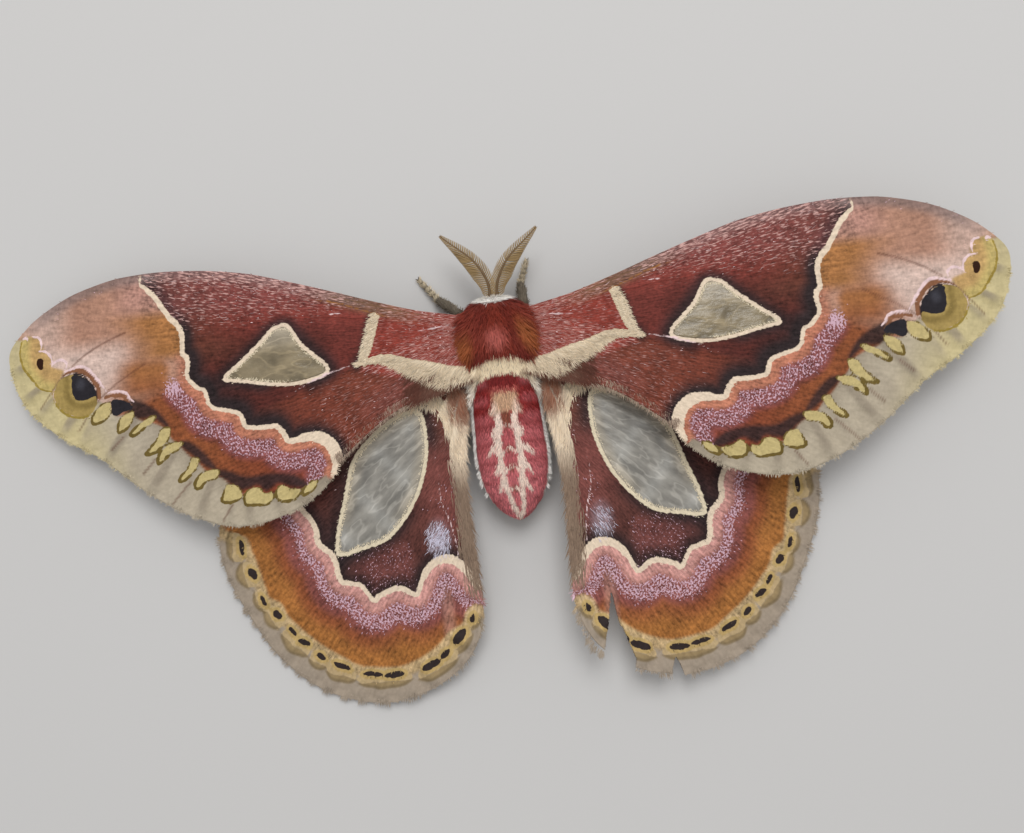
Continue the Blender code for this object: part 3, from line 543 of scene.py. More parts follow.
        done.wash(Tint.OCHRE, out * lower_ochre * smooth(-4.0, -1.0, v) * 0.5)
        done.wash(Tint.SALMON, out * smooth(1.9, 0.5, past_line) * smooth(1.5, -1.0, v) * 0.8)
        done.lilac += 0.55 * out * smooth(1.6, 0.0, np.hypot(u - 37.6, v + 3.0) - 0.6)
        done.wash(Tint.COSTAL_GREY, out * smooth(2.0, 0.5, from_costa) * smooth(59.0, 54.0, u) * 0.75)
        done.lilac += 0.25 * out * smooth(2.4, 1.0, from_costa) * smooth(58.0, 52.0, u)
        for patch in self.DARK_BASES:
            loop = Route(patch, closed=True)
            done.wash(Tint.SOOT, smooth(-0.6, 0.1, loop.depth(p)) * 0.9 * out)
        tip = Route(self.SCALLOPS[3][:4] + self.SCALLOPS[4][1:] + [(58.4, 5.0), (58.7, 3.0), (58.2, 1.0),
                    (57.0, -0.9), (55.6, -2.1), (54.5, -2.4), (53.0, -0.8), (52.6, 0.1), (54.2, 0.8)],
                    closed=True)
        within_tip = smooth(-0.25, 0.25, tip.depth(p))
        done.wash(Tint.APEX_OCHRE, within_tip)
        done.wash(Tint.APEX_LEMON, within_tip * smooth(1.9, 0.6, self.field_edge.distance(p)) * 0.85)
        past_edge = self.margin_field.depth(p)
        pale = smooth(-0.2, 0.2, past_edge)
        done.wash(Tint.MARGIN, pale)
        done.wash(Tint.PALE_LEMON, pale * smooth(47.0, 56.0, u - 0.4 * v) * 0.9)
        # Painted shade: greyer margin between and beside the teeth, where its pleats lie in shade.
        done.wash(Tint.MARGIN_SHADE, pale * smooth(2.2, 0.3, past_edge) * smooth(46.0, 40.0, u) * 0.45)
        done.wash(Tint.MARGIN_SHADE, pale * smooth(26.0, 18.0, u) * 0.4)
        # Painted shade of the soft folds that run across the margin, darker on alternate folds.
        from_edge, along = self.outer_edge.nearest(p)
        done.wash(Tint.MARGIN_SHADE, pale * smooth(0.0, 1.3, folds(along)) * smooth(0.2, 2.0, from_edge)
                  * 0.75)
        veins = np.full(len(p), np.inf)
        for line in self.VEIN_LINES:
            veins = np.minimum(veins, Route(line).distance(p))
        done.wash(Tint.UMBER, smooth(0.2, 0.05, veins) * 0.6)
        past = smooth(-0.1, 0.1, past_edge)
        done.lilac *= 1.0 - past
        done.frost *= 1.0 - past
        done.satin = np.maximum(past, 0.55 * apical * smooth(1.0, 4.0, past_line))

    def _paint_marks(self, done: Paint, u: Amounts, v: Amounts, p: Points) -> None:
        """Lays the crisp marks."""
        done.lay_mark(Tint.CREAM, self.line.stripe(p, self.LINE_WIDTHS))
        done.lay_mark(Tint.BAND_CREAM, self.bar.stripe(p, (0.6, 0.66, 0.64, 0.56, 0.4)))
        done.lay_mark(Tint.BAND_CREAM, self.band.stripe(p, (0.25, 0.5, 0.65, 0.7, 0.8, 0.95, 1.0, 1.0)))
        rim = self.window.depth(p)
        done.lay_mark(Tint.CREAM, 0.29 - np.abs(rim - 0.03))
        done.bare = rim - 0.3
        glass = smooth(0.12, 0.32, rim)
        done.wash(Tint.FORE_GLASS, glass)
        done.wash(Tint.FORE_GLASS_PALE, glass * smooth(-1.0, 2.0, v) * 0.8)
        for tint, line in self.STREAKS:
            done.lay_mark(tint, Route(line).stripe(p, (0.04, 0.12, 0.12, 0.03)))
        ring = Route(self.EYE_RING, closed=True).depth(p)
        done.lay_mark(Tint.RING, ring)
        from_pupil = Route(self.EYESPOT, closed=True, step=0.2).distance(p)
        share = (smooth(0.1, 0.5, from_pupil) * smooth(1.5, 0.7, from_pupil) * (ring > 0.0) * 0.6)[:, None]
        done.mark = done.mark * (1.0 - share) + Tint.OLIVE.linear() * share
        for tooth in self.teeth:
            depth = tooth.depth(p)
            done.lay_mark(Tint.TOOTH, depth)
            rear = smooth(0.1, 0.7, (u - tooth.points[:, 0].mean()) * 0.45
                          - (v - tooth.points[:, 1].mean()) * 0.9)
            done.lay_spot(Tint.OLIVE, 0.13 + 0.1 * rear - np.abs(depth - 0.02))
        for line in ([(54.3, -2.7), (53.9, -4.1), (53.0, -5.3), (51.7, -6.0), (50.3, -6.3), (49.0, -6.0)],
                     [(58.5, 4.6), (58.7, 3.0), (58.3, 1.4), (57.5, -0.1), (56.6, -1.3), (55.6, -2.1),
                      (54.4, -2.4)]):
            done.lay_spot(Tint.OLIVE_SOFT, Route(line).stripe(p, (0.12, 0.2, 0.2, 0.12)))
        done.lay_spot(Tint.ARCH_BROWN,
                      Route(self.ARCH).stripe(p - np.array([-0.35, 0.4]), (0.3, 0.36, 0.36, 0.15)))
        done.lay_spot(Tint.ARCH_BROWN,
                      Route(self.SCALLOPS[0]).stripe(p + np.array([-0.25, 0.5]), (0.1, 0.3, 0.3, 0.2)))
        done.lay_spot(Tint.SOOT, Route(self.ARCH).stripe(p, (0.1, 0.13, 0.14, 0.08)))
        done.lay_spot(Tint.PUPIL, Route(self.EYESPOT, closed=True, step=0.2).depth(p))
        done.lay_spot(Tint.PUPIL, Route(self.SECOND_SPOT, closed=True, step=0.2).depth(p))
        done.lay_spot(Tint.APEX_SPOT, Route(self.APEX_SPOT, closed=True, step=0.2).depth(p))
        for scallop in self.scallops:
            done.lay_spot(Tint.SHELL_PINK, scallop.stripe(p, (0.12, 0.2, 0.22, 0.2, 0.12)))
        sheen = np.hypot((u - 50.3) / 0.8, (v + 1.9) / 1.0)
        pupil = np.all(np.isclose(done.spot, Tint.PUPIL.linear()), axis=1)
        share = (smooth(1.2, 0.2, sheen) * 0.35 * pupil)[:, None]
        done.spot = done.spot * (1 - share) + Tint.PUPIL_SHEEN.linear() * share


class HindPattern:
    """Colours of a hindwing, laid out in millimetres on its plane."""

    COSTA = [(-2.6, 0.6), (4.0, 0.3), (14.0, -2.2), (24.0, -6.6), (31.0, -11.6), (34.4, -17.0)]
    OUTER = [(34.4, -17.0), (34.9, -20.5), (34.0, -25.2), (31.8, -30.1), (28.4, -35.6), (23.7, -39.8),
             (18.7, -41.9), (14.1, -42.5)]
    CORNER = [(14.1, -42.5), (8.2, -40.8), (3.8, -37.5), (1.8, -33.8), (1.3, -30.0)]
    ANAL = [(1.3, -30.0), (1.6, -25.5), (1.9, -18.0), (1.8, -12.5), (1.2, -8.0), (0.2, -4.9), (-2.6, -4.2)]
    LINE = [(24.6, -11.8), (23.8, -14.6), (23.3, -16.6), (22.2, -18.1), (21.7, -19.4), (21.6, -21.2),
            (20.9, -22.0), (20.0, -22.9), (19.6, -24.1), (19.5, -25.4), (19.1, -26.4), (18.0, -26.8),
            (16.8, -27.1), (16.2, -27.9), (15.6, -28.9), (15.2, -29.3), (14.6, -28.8), (13.3, -28.3),
            (12.1, -28.0), (11.2, -28.2), (10.3, -28.8), (9.7, -29.1), (9.2, -28.3), (8.7, -27.2),
            (8.0, -26.2), (7.1, -25.4), (6.0, -25.0), (4.9, -25.0), (3.9, -25.6), (2.8, -26.9), (1.8, -28.8)]
    LINE_WIDTHS = (0.4, 0.42, 0.4, 0.42, 0.44, 0.42, 0.4, 0.32, 0.4, 0.42, 0.34, 0.5, 0.62, 0.6, 0.45)
    WINDOW = [(6.7, -6.1), (6.1, -9.8), (6.7, -13.2), (8.0, -16.4), (10.2, -19.5), (12.6, -21.6),
              (16.4, -22.6), (19.1, -22.9), (18.9, -20.6), (17.3, -15.8), (15.7, -11.3), (13.2, -8.7),
              (9.6, -6.5)]
    CREASES = [[(7.0, -6.9), (8.6, -7.7), (10.0, -8.3)], [(8.3, -10.4), (9.0, -11.4), (9.8, -12.0)],
               [(10.5, -10.0), (12.4, -10.9), (14.0, -11.5)], [(10.8, -14.2), (13.0, -17.5), (13.5, -20.0)],
               [(15.8, -19.0), (16.8, -20.4), (17.5, -21.5)]]
    VEINS = [
        [(0.5, -0.6), (16.0, -4.2), (30.5, -12.8)],
        [(1.0, -1.4), (10.0, -4.6), (18.0, -8.8), (26.0, -13.8), (33.4, -20.6)],
        [(17.6, -10.6), (25.0, -18.4), (31.6, -28.2)],
        [(20.2, -23.6), (24.0, -29.8), (27.0, -35.4)],
        [(16.4, -23.8), (18.4, -31.6), (19.4, -40.4)],
        [(1.0, -2.4), (4.2, -6.8), (4.9, -12.4), (7.6, -19.0), (11.0, -28.6), (12.0, -39.0)],
        [(1.0, -4.0), (3.6, -12.6), (4.6, -22.0), (5.2, -29.0)],
    ]
    ARC = [(8.6, -5.2), (6.6, -4.4), (5.0, -4.6), (3.6, -5.8), (2.9, -7.6), (2.6, -9.6), (2.4, -12.0)]
    PALE_VEIN = [(5.0, -13.0), (5.1, -17.5), (4.2, -20.6), (3.7, -24.6)]
    # Black spots near the margin: middle, length, width and turn
    SPOTS = [((31.9, -20.7), 2.3, 0.75, 82.0), ((30.8, -24.2), 1.8, 1.1, 62.0),
             ((29.8, -27.8), 1.7, 0.6, 72.0), ((28.2, -29.8), 1.6, 1.0, 38.0),
             ((26.5, -32.2), 1.5, 0.7, 58.0), ((25.1, -33.7), 1.7, 0.9, 30.0),
             ((23.1, -35.7), 1.4, 0.8, 42.0), ((20.5, -37.2), 2.5, 0.8, 28.0),
             ((16.6, -38.6), 2.8, 0.7, 8.0), ((13.8, -38.9), 2.8, 0.9, -4.0),
             ((8.9, -38.1), 2.8, 1.0, -22.0), ((7.0, -36.9), 1.8, 0.8, -42.0),
             ((4.9, -34.9), 2.6, 1.2, -45.0), ((2.9, -32.7), 1.3, 0.7, -68.0)]
    SCALLOPS = [((32.6, -20.6), 4.2, 2.6, 84.0), ((31.4, -24.3), 3.6, 3.0, 66.0),
                ((30.0, -27.9), 3.2, 2.0, 66.0), ((28.6, -30.1), 3.4, 2.6, 48.0),
                ((26.2, -33.6), 4.6, 2.8, 46.0), ((23.4, -36.1), 2.8, 2.3, 40.0),
                ((20.8, -37.9), 4.4, 2.5, 26.0), ((15.2, -39.2), 7.4, 2.5, 2.0),
                ((8.1, -38.2), 6.4, 2.5, -28.0), ((4.8, -35.3), 4.0, 2.3, -50.0),
                ((2.9, -32.9), 2.4, 1.7, -66.0)]
    FIELD_EDGE = [(34.6, -17.4), (33.0, -19.0), (31.3, -19.6), (30.6, -21.6), (30.0, -24.0), (29.6, -25.8),
                  (29.0, -27.6), (27.6, -28.6), (26.9, -30.2), (25.4, -32.0), (24.0, -33.4), (22.6, -34.6),
                  (20.6, -36.0), (18.4, -37.4), (16.0, -37.9), (13.0, -38.1), (11.0, -37.6), (9.2, -36.8),
                  (7.4, -35.6), (5.9, -34.2), (4.2, -33.4), (3.4, -31.8), (2.4, -31.2), (1.0, -31.6)]

    def __init__(self) -> None:
        """Lays out every line and loop of the pattern."""
        self.costa = Route(self.COSTA)
        self.outer_edge = Route(self.OUTER + self.CORNER[1:])
        self.anal_edge = Route(self.ANAL)
        self.line = Route(self.LINE, step=0.3)
        beyond = [(-4.0, -30.0), (-4.0, -48.0), (40.0, -48.0), (40.0, -8.0), (25.5, -8.0)]
        self.outer_field = Route.ring(np.vstack([self.line.points, beyond]))
        self.window = Route(self.WINDOW, closed=True)
        self.arc = Route(self.ARC)
        self.field_edge = Route(self.FIELD_EDGE, step=0.3)
        around = [(-4.0, -32.0), (-4.0, -48.0), (40.0, -48.0), (40.0, -16.0)]
        self.margin_field = Route.ring(np.vstack([self.field_edge.points, around]))

    def paint(self, p: Points) -> Paint:
        """Colours every point of the wing.

        Args:
            p: Points in the wing's plane, in millimetres.

        Returns:
            Their colours and marks.
        """
        u, v = p.T
        done = Paint(np.tile(Tint.HIND_MAROON.linear(), (len(p), 1)))
        past_line = self.outer_field.depth(p)
        window = self.window.depth(p)
        self._paint_inner(done, u, v, past_line, window)
        self._paint_outer(done, u, v, past_line, p)
        self._paint_marks(done, u, v, window, p)
        return done

    def _paint_inner(self, done: Paint, u: Amounts, v: Amounts, past_line: Amounts,
                     window: Amounts) -> None:
        """Colours the field round the window."""
        done.wash(Tint.HIND_FRONT, smooth(-14.0, -5.0, v) * 0.7)
        done.wash(Tint.HIND_RED, smooth(8.4, 5.4, u) * smooth(-9.0, -13.0, v) * smooth(-24.0, -21.0, v) * 0.9)
        done.wash(Tint.HIND_RED, smooth(3.0, 0.6, -window) * smooth(10.0, 6.0, u) * smooth(-11.0, -14.0, v)
                  * 0.5)
        done.wash(Tint.ROSE_BROWN, smooth(-21.5, -24.0, v) * smooth(9.0, 10.5, u) * smooth(19.0, 15.5, u)
                  * 0.3)
        done.wash(Tint.SOOT, smooth(2.0, 0.2, -window) * smooth(-16.5, -21.0, v) * 0.85)
        done.wash(Tint.SOOT, smooth(3.2, 0.2, -window) * smooth(13.0, 16.5, u) * 0.75)
        done.wash(Tint.SOOT, smooth(2.3, 0.6, -window) * smooth(8.0, 6.2, u) * smooth(-13.0, -9.0, v) * 0.85)
        done.wash(Tint.SOOT, smooth(2.6, 0.3, -past_line) * 0.9)
        done.wash(Tint.SOOT, smooth(1.9, 0.2, -past_line) * smooth(11.0, 8.0, u) * 0.6)
        patch = np.hypot((u - 5.9) / 1.6, (v + 22.2) / 2.4)
        done.wash(Tint.BLUE_WHITE, smooth(1.3, 0.2, patch) * 0.3)
        done.frost += 0.5 * smooth(1.3, 0.3, patch)
        hair = smooth(2.2, 0.9, u - 0.9) * smooth(-3.0, -6.0, v) * smooth(0.0, -0.5, past_line)
        done.wash(Tint.HAIR_GREY, hair * 0.9)
        done.lilac += 0.55 * smooth(-20.5, -23.0, v) * smooth(8.8, 9.6, u) * smooth(19.0, 15.0, u)
        done.lilac += 0.3 * smooth(8.0, 5.0, u) * smooth(-14.0, -17.0, v)
        done.lilac *= smooth(0.2, -0.6, past_line)
        done.frost += 0.35 * smooth(-2.0, -5.0, v) * smooth(-15.0, -10.0, v)

    def _paint_outer(self, done: Paint, u: Amounts, v: Amounts, past_line: Amounts, p: Points) -> None:
        """Colours the field past the cream line and the pale margin."""
        out = smooth(-0.15, 0.15, past_line)
        done.wash(Tint.HIND_TAWNY, out)
        done.wash(Tint.HIND_OCHRE, out * smooth(4.6, 7.5, past_line) * 0.85)
        done.wash(Tint.OXBLOOD, out * smooth(1.6, 0.0, np.abs(past_line - 5.2)) * smooth(12.0, 20.0, u)
                  * 0.35)
        done.wash(Tint.ROSE_BROWN, out * smooth(0.8, 1.7, past_line) * smooth(5.2, 3.8, past_line) * 0.85)
        done.wash(Tint.HIND_SALMON, out * smooth(2.2, 1.0, past_line))
        reach = np.interp(u, [2.0, 8.0, 12.0, 18.0, 25.0], [4.2, 4.4, 5.0, 4.6, 3.9])
        done.lilac += out * smooth(0.9, 2.0, past_line) * smooth(reach, reach - 1.4, past_line)
        done.wash(Tint.PINK_PEACH, out * smooth(1.2, 0.3, np.abs(u - 5.9)) * smooth(-27.0, -30.0, v) * 0.5)
        past_edge = self.margin_field.depth(p)
        done.wash(Tint.HIND_CREAM, smooth(-0.45, 0.1, past_edge) * 0.9)
        done.wash(Tint.HIND_MARGIN, smooth(0.9, 1.6, past_edge))
        done.lilac *= smooth(0.1, -0.3, past_edge)
        done.satin = smooth(0.9, 1.6, past_edge)

    def _paint_marks(self, done: Paint, u: Amounts, v: Amounts, window: Amounts, p: Points) -> None:
        """Lays the crisp marks."""
        for centre, length, width, turn in self.SCALLOPS:
            depth = Route(blob(centre, length, width, turn), closed=True, step=0.3).depth(p)
            outward = np.array(centre) - np.array([15.0, -22.0])
            side = (p - np.array(centre)) @ (outward / np.linalg.norm(outward))
            done.lay_mark(Tint.HIND_CREAM, np.minimum(depth, 0.55 - side))
            done.wash(Tint.SCALLOP, smooth(-0.15, 0.3, np.minimum(depth, side - 0.35)) * 0.9)
            done.wash(Tint.SCALLOP_EDGE, smooth(-0.1, 0.15, np.minimum(0.22 - np.abs(depth), side - 0.4))
                      * 0.8)
        done.lay_mark(Tint.CREAM, self.line.stripe(p, self.LINE_WIDTHS))
        done.lay_mark(Tint.RIM_CREAM, 0.29 - np.abs(window - 0.02))
        done.lay_mark(Tint.BAND_CREAM, self.arc.stripe(p, (0.4, 0.7, 0.8, 0.8, 0.75, 0.6, 0.3)))
        done.lay_mark(Tint.SHELL_PINK, Route(self.PALE_VEIN).stripe(p, (0.03, 0.1, 0.11, 0.06)))
        done.bare = window - 0.29
        glass = smooth(0.1, 0.3, window)
        done.wash(Tint.HIND_GLASS, glass)
        # Painted highlights: pale diagonal streaks across the window, where its creases catch the light.
        done.wash(Tint.HIND_GLASS_GLINT, glass * smooth(0.9, -0.2, np.abs(np.sin(0.45 * u - 0.36 * v))) * 0.6)
        done.wash(Tint.FORE_GLASS_PALE, glass * smooth(2.0, 0.5, window) * smooth(-20.5, -17.5, v) * 0.6)
        for centre, length, width, turn in self.SPOTS:
            ring = Route(blob(centre, length + 0.9, width + 0.8, turn), closed=True, step=0.2).depth(p)
            done.lay_mark(Tint.HIND_RING, ring)
            done.lay_spot(Tint.HIND_SPOT,
                          Route(blob(centre, length, width, turn), closed=True, step=0.2).depth(p))


class Lay(Enum):
    """How a group of hairs stands on its skin: length, width, thickness and lift."""

    SCALE = (0.36, 0.1, 0.02, 0.05)
    FROST = (0.8, 0.06, 0.02, 0.1)
    BAND = (1.5, 0.11, 0.03, 0.1)
    SPILL = (1.4, 0.1, 0.03, 0.08)
    BAR = (0.6, 0.1, 0.03, 0.08)
    RIM = (0.3, 0.08, 0.02, 0.02)
    FRINGE = (0.42, 0.09, 0.02, 0.03)
    REAR_FRINGE = (0.85, 0.07, 0.02, 0.06)
    ANAL = (2.0, 0.1, 0.03, 0.06)
    ARC = (1.2, 0.11, 0.03, 0.12)
    THORAX = (1.15, 0.1, 0.03, 0.28)
    SHOULDER = (1.8, 0.1, 0.03, 0.42)
    COLLAR = (0.75, 0.09, 0.03, 0.3)
    WAIST = (0.7, 0.09, 0.03, 0.12)
    ABDOMEN = (0.62, 0.09, 0.02, 0.12)
    ARM = (1.3, 0.12, 0.03, 0.35)
    SIDE = (0.55, 0.1, 0.03, 0.15)
    HEAD = (0.6, 0.1, 0.03, 0.3)
    LEG = (0.34, 0.12, 0.02, 0.1)
    THIGH = (0.7, 0.11, 0.03, 0.22)


def unit(vectors: np.ndarray) -> np.ndarray:
    """Vectors of length one."""
    return vectors / np.maximum(np.linalg.norm(vectors, axis=1, keepdims=True), 1e-9)


@dataclass
class Locks:
    """Roots and lie of many tufts, in millimetres of the solids' frame."""

    roots: np.ndarray
    lie: np.ndarray
    up: np.ndarray
    sizes: np.ndarray
    tint: np.ndarray
    bake: np.ndarray

    @classmethod
    def grown(cls, roots: np.ndarray, lie: np.ndarray, up: np.ndarray, tint: np.ndarray, bake: np.ndarray,
              lay: Lay, rng: np.random.Generator, spread: float = 0.16) -> "Locks":
        """Grows tufts of one kind with natural spread.

        Args:
            roots: Where they stand.
            lie: The way they point along the skin.
            up: The skin's outward directions.
            tint: Their linear colours.
            bake: Their places on the unwrap.
            lay: Their kind.
            rng: Source of the spread.
            spread: How far they stray sideways.

        Returns:
            The tufts.
        """
        count = len(roots)
        length, width, thick, lift = lay.value
        along = unit(lie - np.sum(lie * up, axis=1, keepdims=True) * up)
        side = np.cross(up, along)
        stray = rng.normal(0.0, spread, (count, 1))
        raised = np.abs(rng.normal(lift, 0.35 * lift, (count, 1)))
        sizes = np.array([length, width, thick]) * rng.uniform(0.72, 1.28, (count, 3))
        shade = rng.normal(1.12, 0.15, (count, 1)).clip(0.65, 1.6)
        shade = np.minimum(shade, 0.96 / tint.max(axis=1, keepdims=True))
        return cls(roots, unit(along + stray * side + raised * up), up, sizes, tint * shade, bake)

    @classmethod
    def joined(cls, groups: list["Locks"]) -> "Locks":
        """All groups as one."""
        names = ("roots", "lie", "up", "sizes", "tint", "bake")
        return cls(*(np.concatenate([getattr(group, name) for group in groups]) for name in names))

    def turns(self) -> np.ndarray:
        """Turns that point each tuft along its lie, as XYZ angles."""
        x = self.lie
        y = unit(np.cross(self.up, x))
        z = np.cross(x, y)
        pitch = -np.arcsin(np.clip(x[:, 2], -1.0, 1.0))
        roll = np.arctan2(y[:, 2], z[:, 2])
        yaw = np.arctan2(x[:, 1], x[:, 0])
        return np.stack([roll, pitch, yaw], axis=1)


def to_world(points: np.ndarray) -> np.ndarray:
    """Points of the solids' millimetres as metres of the row frame."""
    return (points + np.array([0.0, BELLY_BACK, 0.0])) * MM


def mesh_of(name: str, points: np.ndarray, faces: list) -> bpy.types.Mesh:
    """A smooth mesh of the given points and faces.

    Args:
        name: The mesh's name.
        points: Its points, in its object's units.
        faces: Its faces' corners.

    Returns:
        The mesh.
    """
    mesh = bpy.data.meshes.new(name)
    mesh.from_pydata(points.tolist(), [], faces)
    mesh.polygons.foreach_set("use_smooth", [True] * len(mesh.polygons))
    return mesh


def store(mesh: bpy.types.Mesh, name: str, values: np.ndarray, kind: str = "FLOAT_VECTOR") -> None:
    """Stores one value per point.

    Args:
        mesh: The mesh that takes them.
        name: The attribute's name.
        values: One row a point.
        kind: FLOAT_VECTOR or FLOAT_COLOR.
    """
    attribute = mesh.attributes.new(name, kind, "POINT")
    if kind == "FLOAT_COLOR":
        values = np.hstack([values, np.ones((len(values), 1))])
        attribute.data.foreach_set("color", values.ravel())
    else:
        attribute.data.foreach_set("vector", values.ravel())


def show(name: str, mesh: bpy.types.Mesh) -> bpy.types.Object:
    """Puts a mesh into the scene as an object at the origin."""
    made = bpy.data.objects.new(name, mesh)
    bpy.context.scene.collection.objects.link(made)
    return made


def ride(piece: bpy.types.Object, slot: str, *nodes: str) -> None:
    """Ties a finished piece to the body and logs it.

    Args:
        piece: The piece.
        slot: Not used.
        nodes: Solids that it stands for.
    """
    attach(piece, "root")
    if nodes:
        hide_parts(*nodes)
    piece.data.calc_loop_triangles()
    LOG.info("%s: %d triangles", piece.name, len(piece.data.loop_triangles))


class Shader:
    """Builds one material's nodes."""

    def __init__(self, name: str) -> None:
        """Starts a material with its surface shader.

        Args:
            name: The material's name.
        """
        self.material = bpy.data.materials.new(name)
        self.material.use_nodes = True
        self.tree = self.material.node_tree
        self.surface = self.tree.nodes["Principled BSDF"]

    def put(self, socket, value) -> None:
        """Links a socket's source or sets its constant."""
        if isinstance(value, bpy.types.NodeSocket):
            self.tree.links.new(value, socket)
        else:
            socket.default_value = value

    def math(self, operation: str, first, second=0.0, clamp: bool = False):
        """Result of one sum.

        Args:
            operation: Its kind.
            first: Socket or number.
            second: Socket or number.
            clamp: Whether to keep it between 0 and 1.

        Returns:
            The output socket.
        """
        node = self.tree.nodes.new("ShaderNodeMath")
        node.operation = operation
        node.use_clamp = clamp
        self.put(node.inputs[0], first)
        self.put(node.inputs[1], second)
        return node.outputs[0]

    def times(self, first, second, clamp: bool = False):
        """Multiplies two values."""
        return self.math("MULTIPLY", first, second, clamp=clamp)

    def plus(self, first, second):
        """Adds two values."""
        return self.math("ADD", first, second)

    def attribute(self, name: str, output: str = "Vector"):
        """A named value of the mesh."""
        node = self.tree.nodes.new("ShaderNodeAttribute")
        node.attribute_name = name
        return node.outputs[output]

    def parts(self, vector) -> list:
        """The three numbers of a vector."""
        node = self.tree.nodes.new("ShaderNodeSeparateXYZ")
        self.put(node.inputs[0], vector)
        return list(node.outputs)

    def scaled(self, vector, factors: tuple):
        """A vector times a constant one."""
        node = self.tree.nodes.new("ShaderNodeVectorMath")
        node.operation = "MULTIPLY"
        self.put(node.inputs[0], vector)
        node.inputs[1].default_value = factors
        return node.outputs[0]

    def noise(self, vector, scale: float, detail: float = 2.0):
        """Smooth noise round one half."""
        node = self.tree.nodes.new("ShaderNodeTexNoise")
        self.put(node.inputs["Vector"], vector)
        node.inputs["Scale"].default_value = scale
        node.inputs["Detail"].default_value = detail
        return node.outputs[0]

    def place(self, scale: float):
        """The object's own coordinates, times a scale."""
        node = self.tree.nodes.new("ShaderNodeTexCoord")
        return self.scaled(node.outputs["Object"], (scale, scale, scale))

    def mix(self, share, first, second, kind: str = "MIX"):
        """Blends two colours.

        Args:
            share: Socket or number.
            first: Colour at 0.
            second: Colour at 1.
            kind: The blend's kind.

        Returns:
            The colour socket.
        """
        node = self.tree.nodes.new("ShaderNodeMix")
        node.data_type = "RGBA"
        node.blend_type = kind
        self.put(node.inputs[0], share)
        self.put(node.inputs[6], first)
        self.put(node.inputs[7], second)
        return node.outputs[2]

    def grey(self, value):
        """A number as a grey colour."""
        node = self.tree.nodes.new("ShaderNodeCombineXYZ")
        for socket in node.inputs:
            self.put(socket, value)
        return node.outputs[0]

    def bump(self, height, distance: float, strength: float) -> None:
        """Roughens the surface by a height in metres."""
        node = self.tree.nodes.new("ShaderNodeBump")
        node.inputs["Distance"].default_value = distance
        node.inputs["Strength"].default_value = strength
        self.put(node.inputs["Height"], height)
        self.put(self.surface.inputs["Normal"], node.outputs[0])

    def finish(self, colour, roughness, specular=0.3) -> bpy.types.Material:
        """Sets the surface's main values.

        Args:
            colour: Socket or linear colour with alpha.
            roughness: Socket or number.
            specular: Socket or number.

        Returns:
            The material.
        """
        self.put(self.surface.inputs["Base Color"], colour)
        self.put(self.surface.inputs["Roughness"], roughness)
        self.put(self.surface.inputs["Specular IOR Level"], specular)
        return self.material


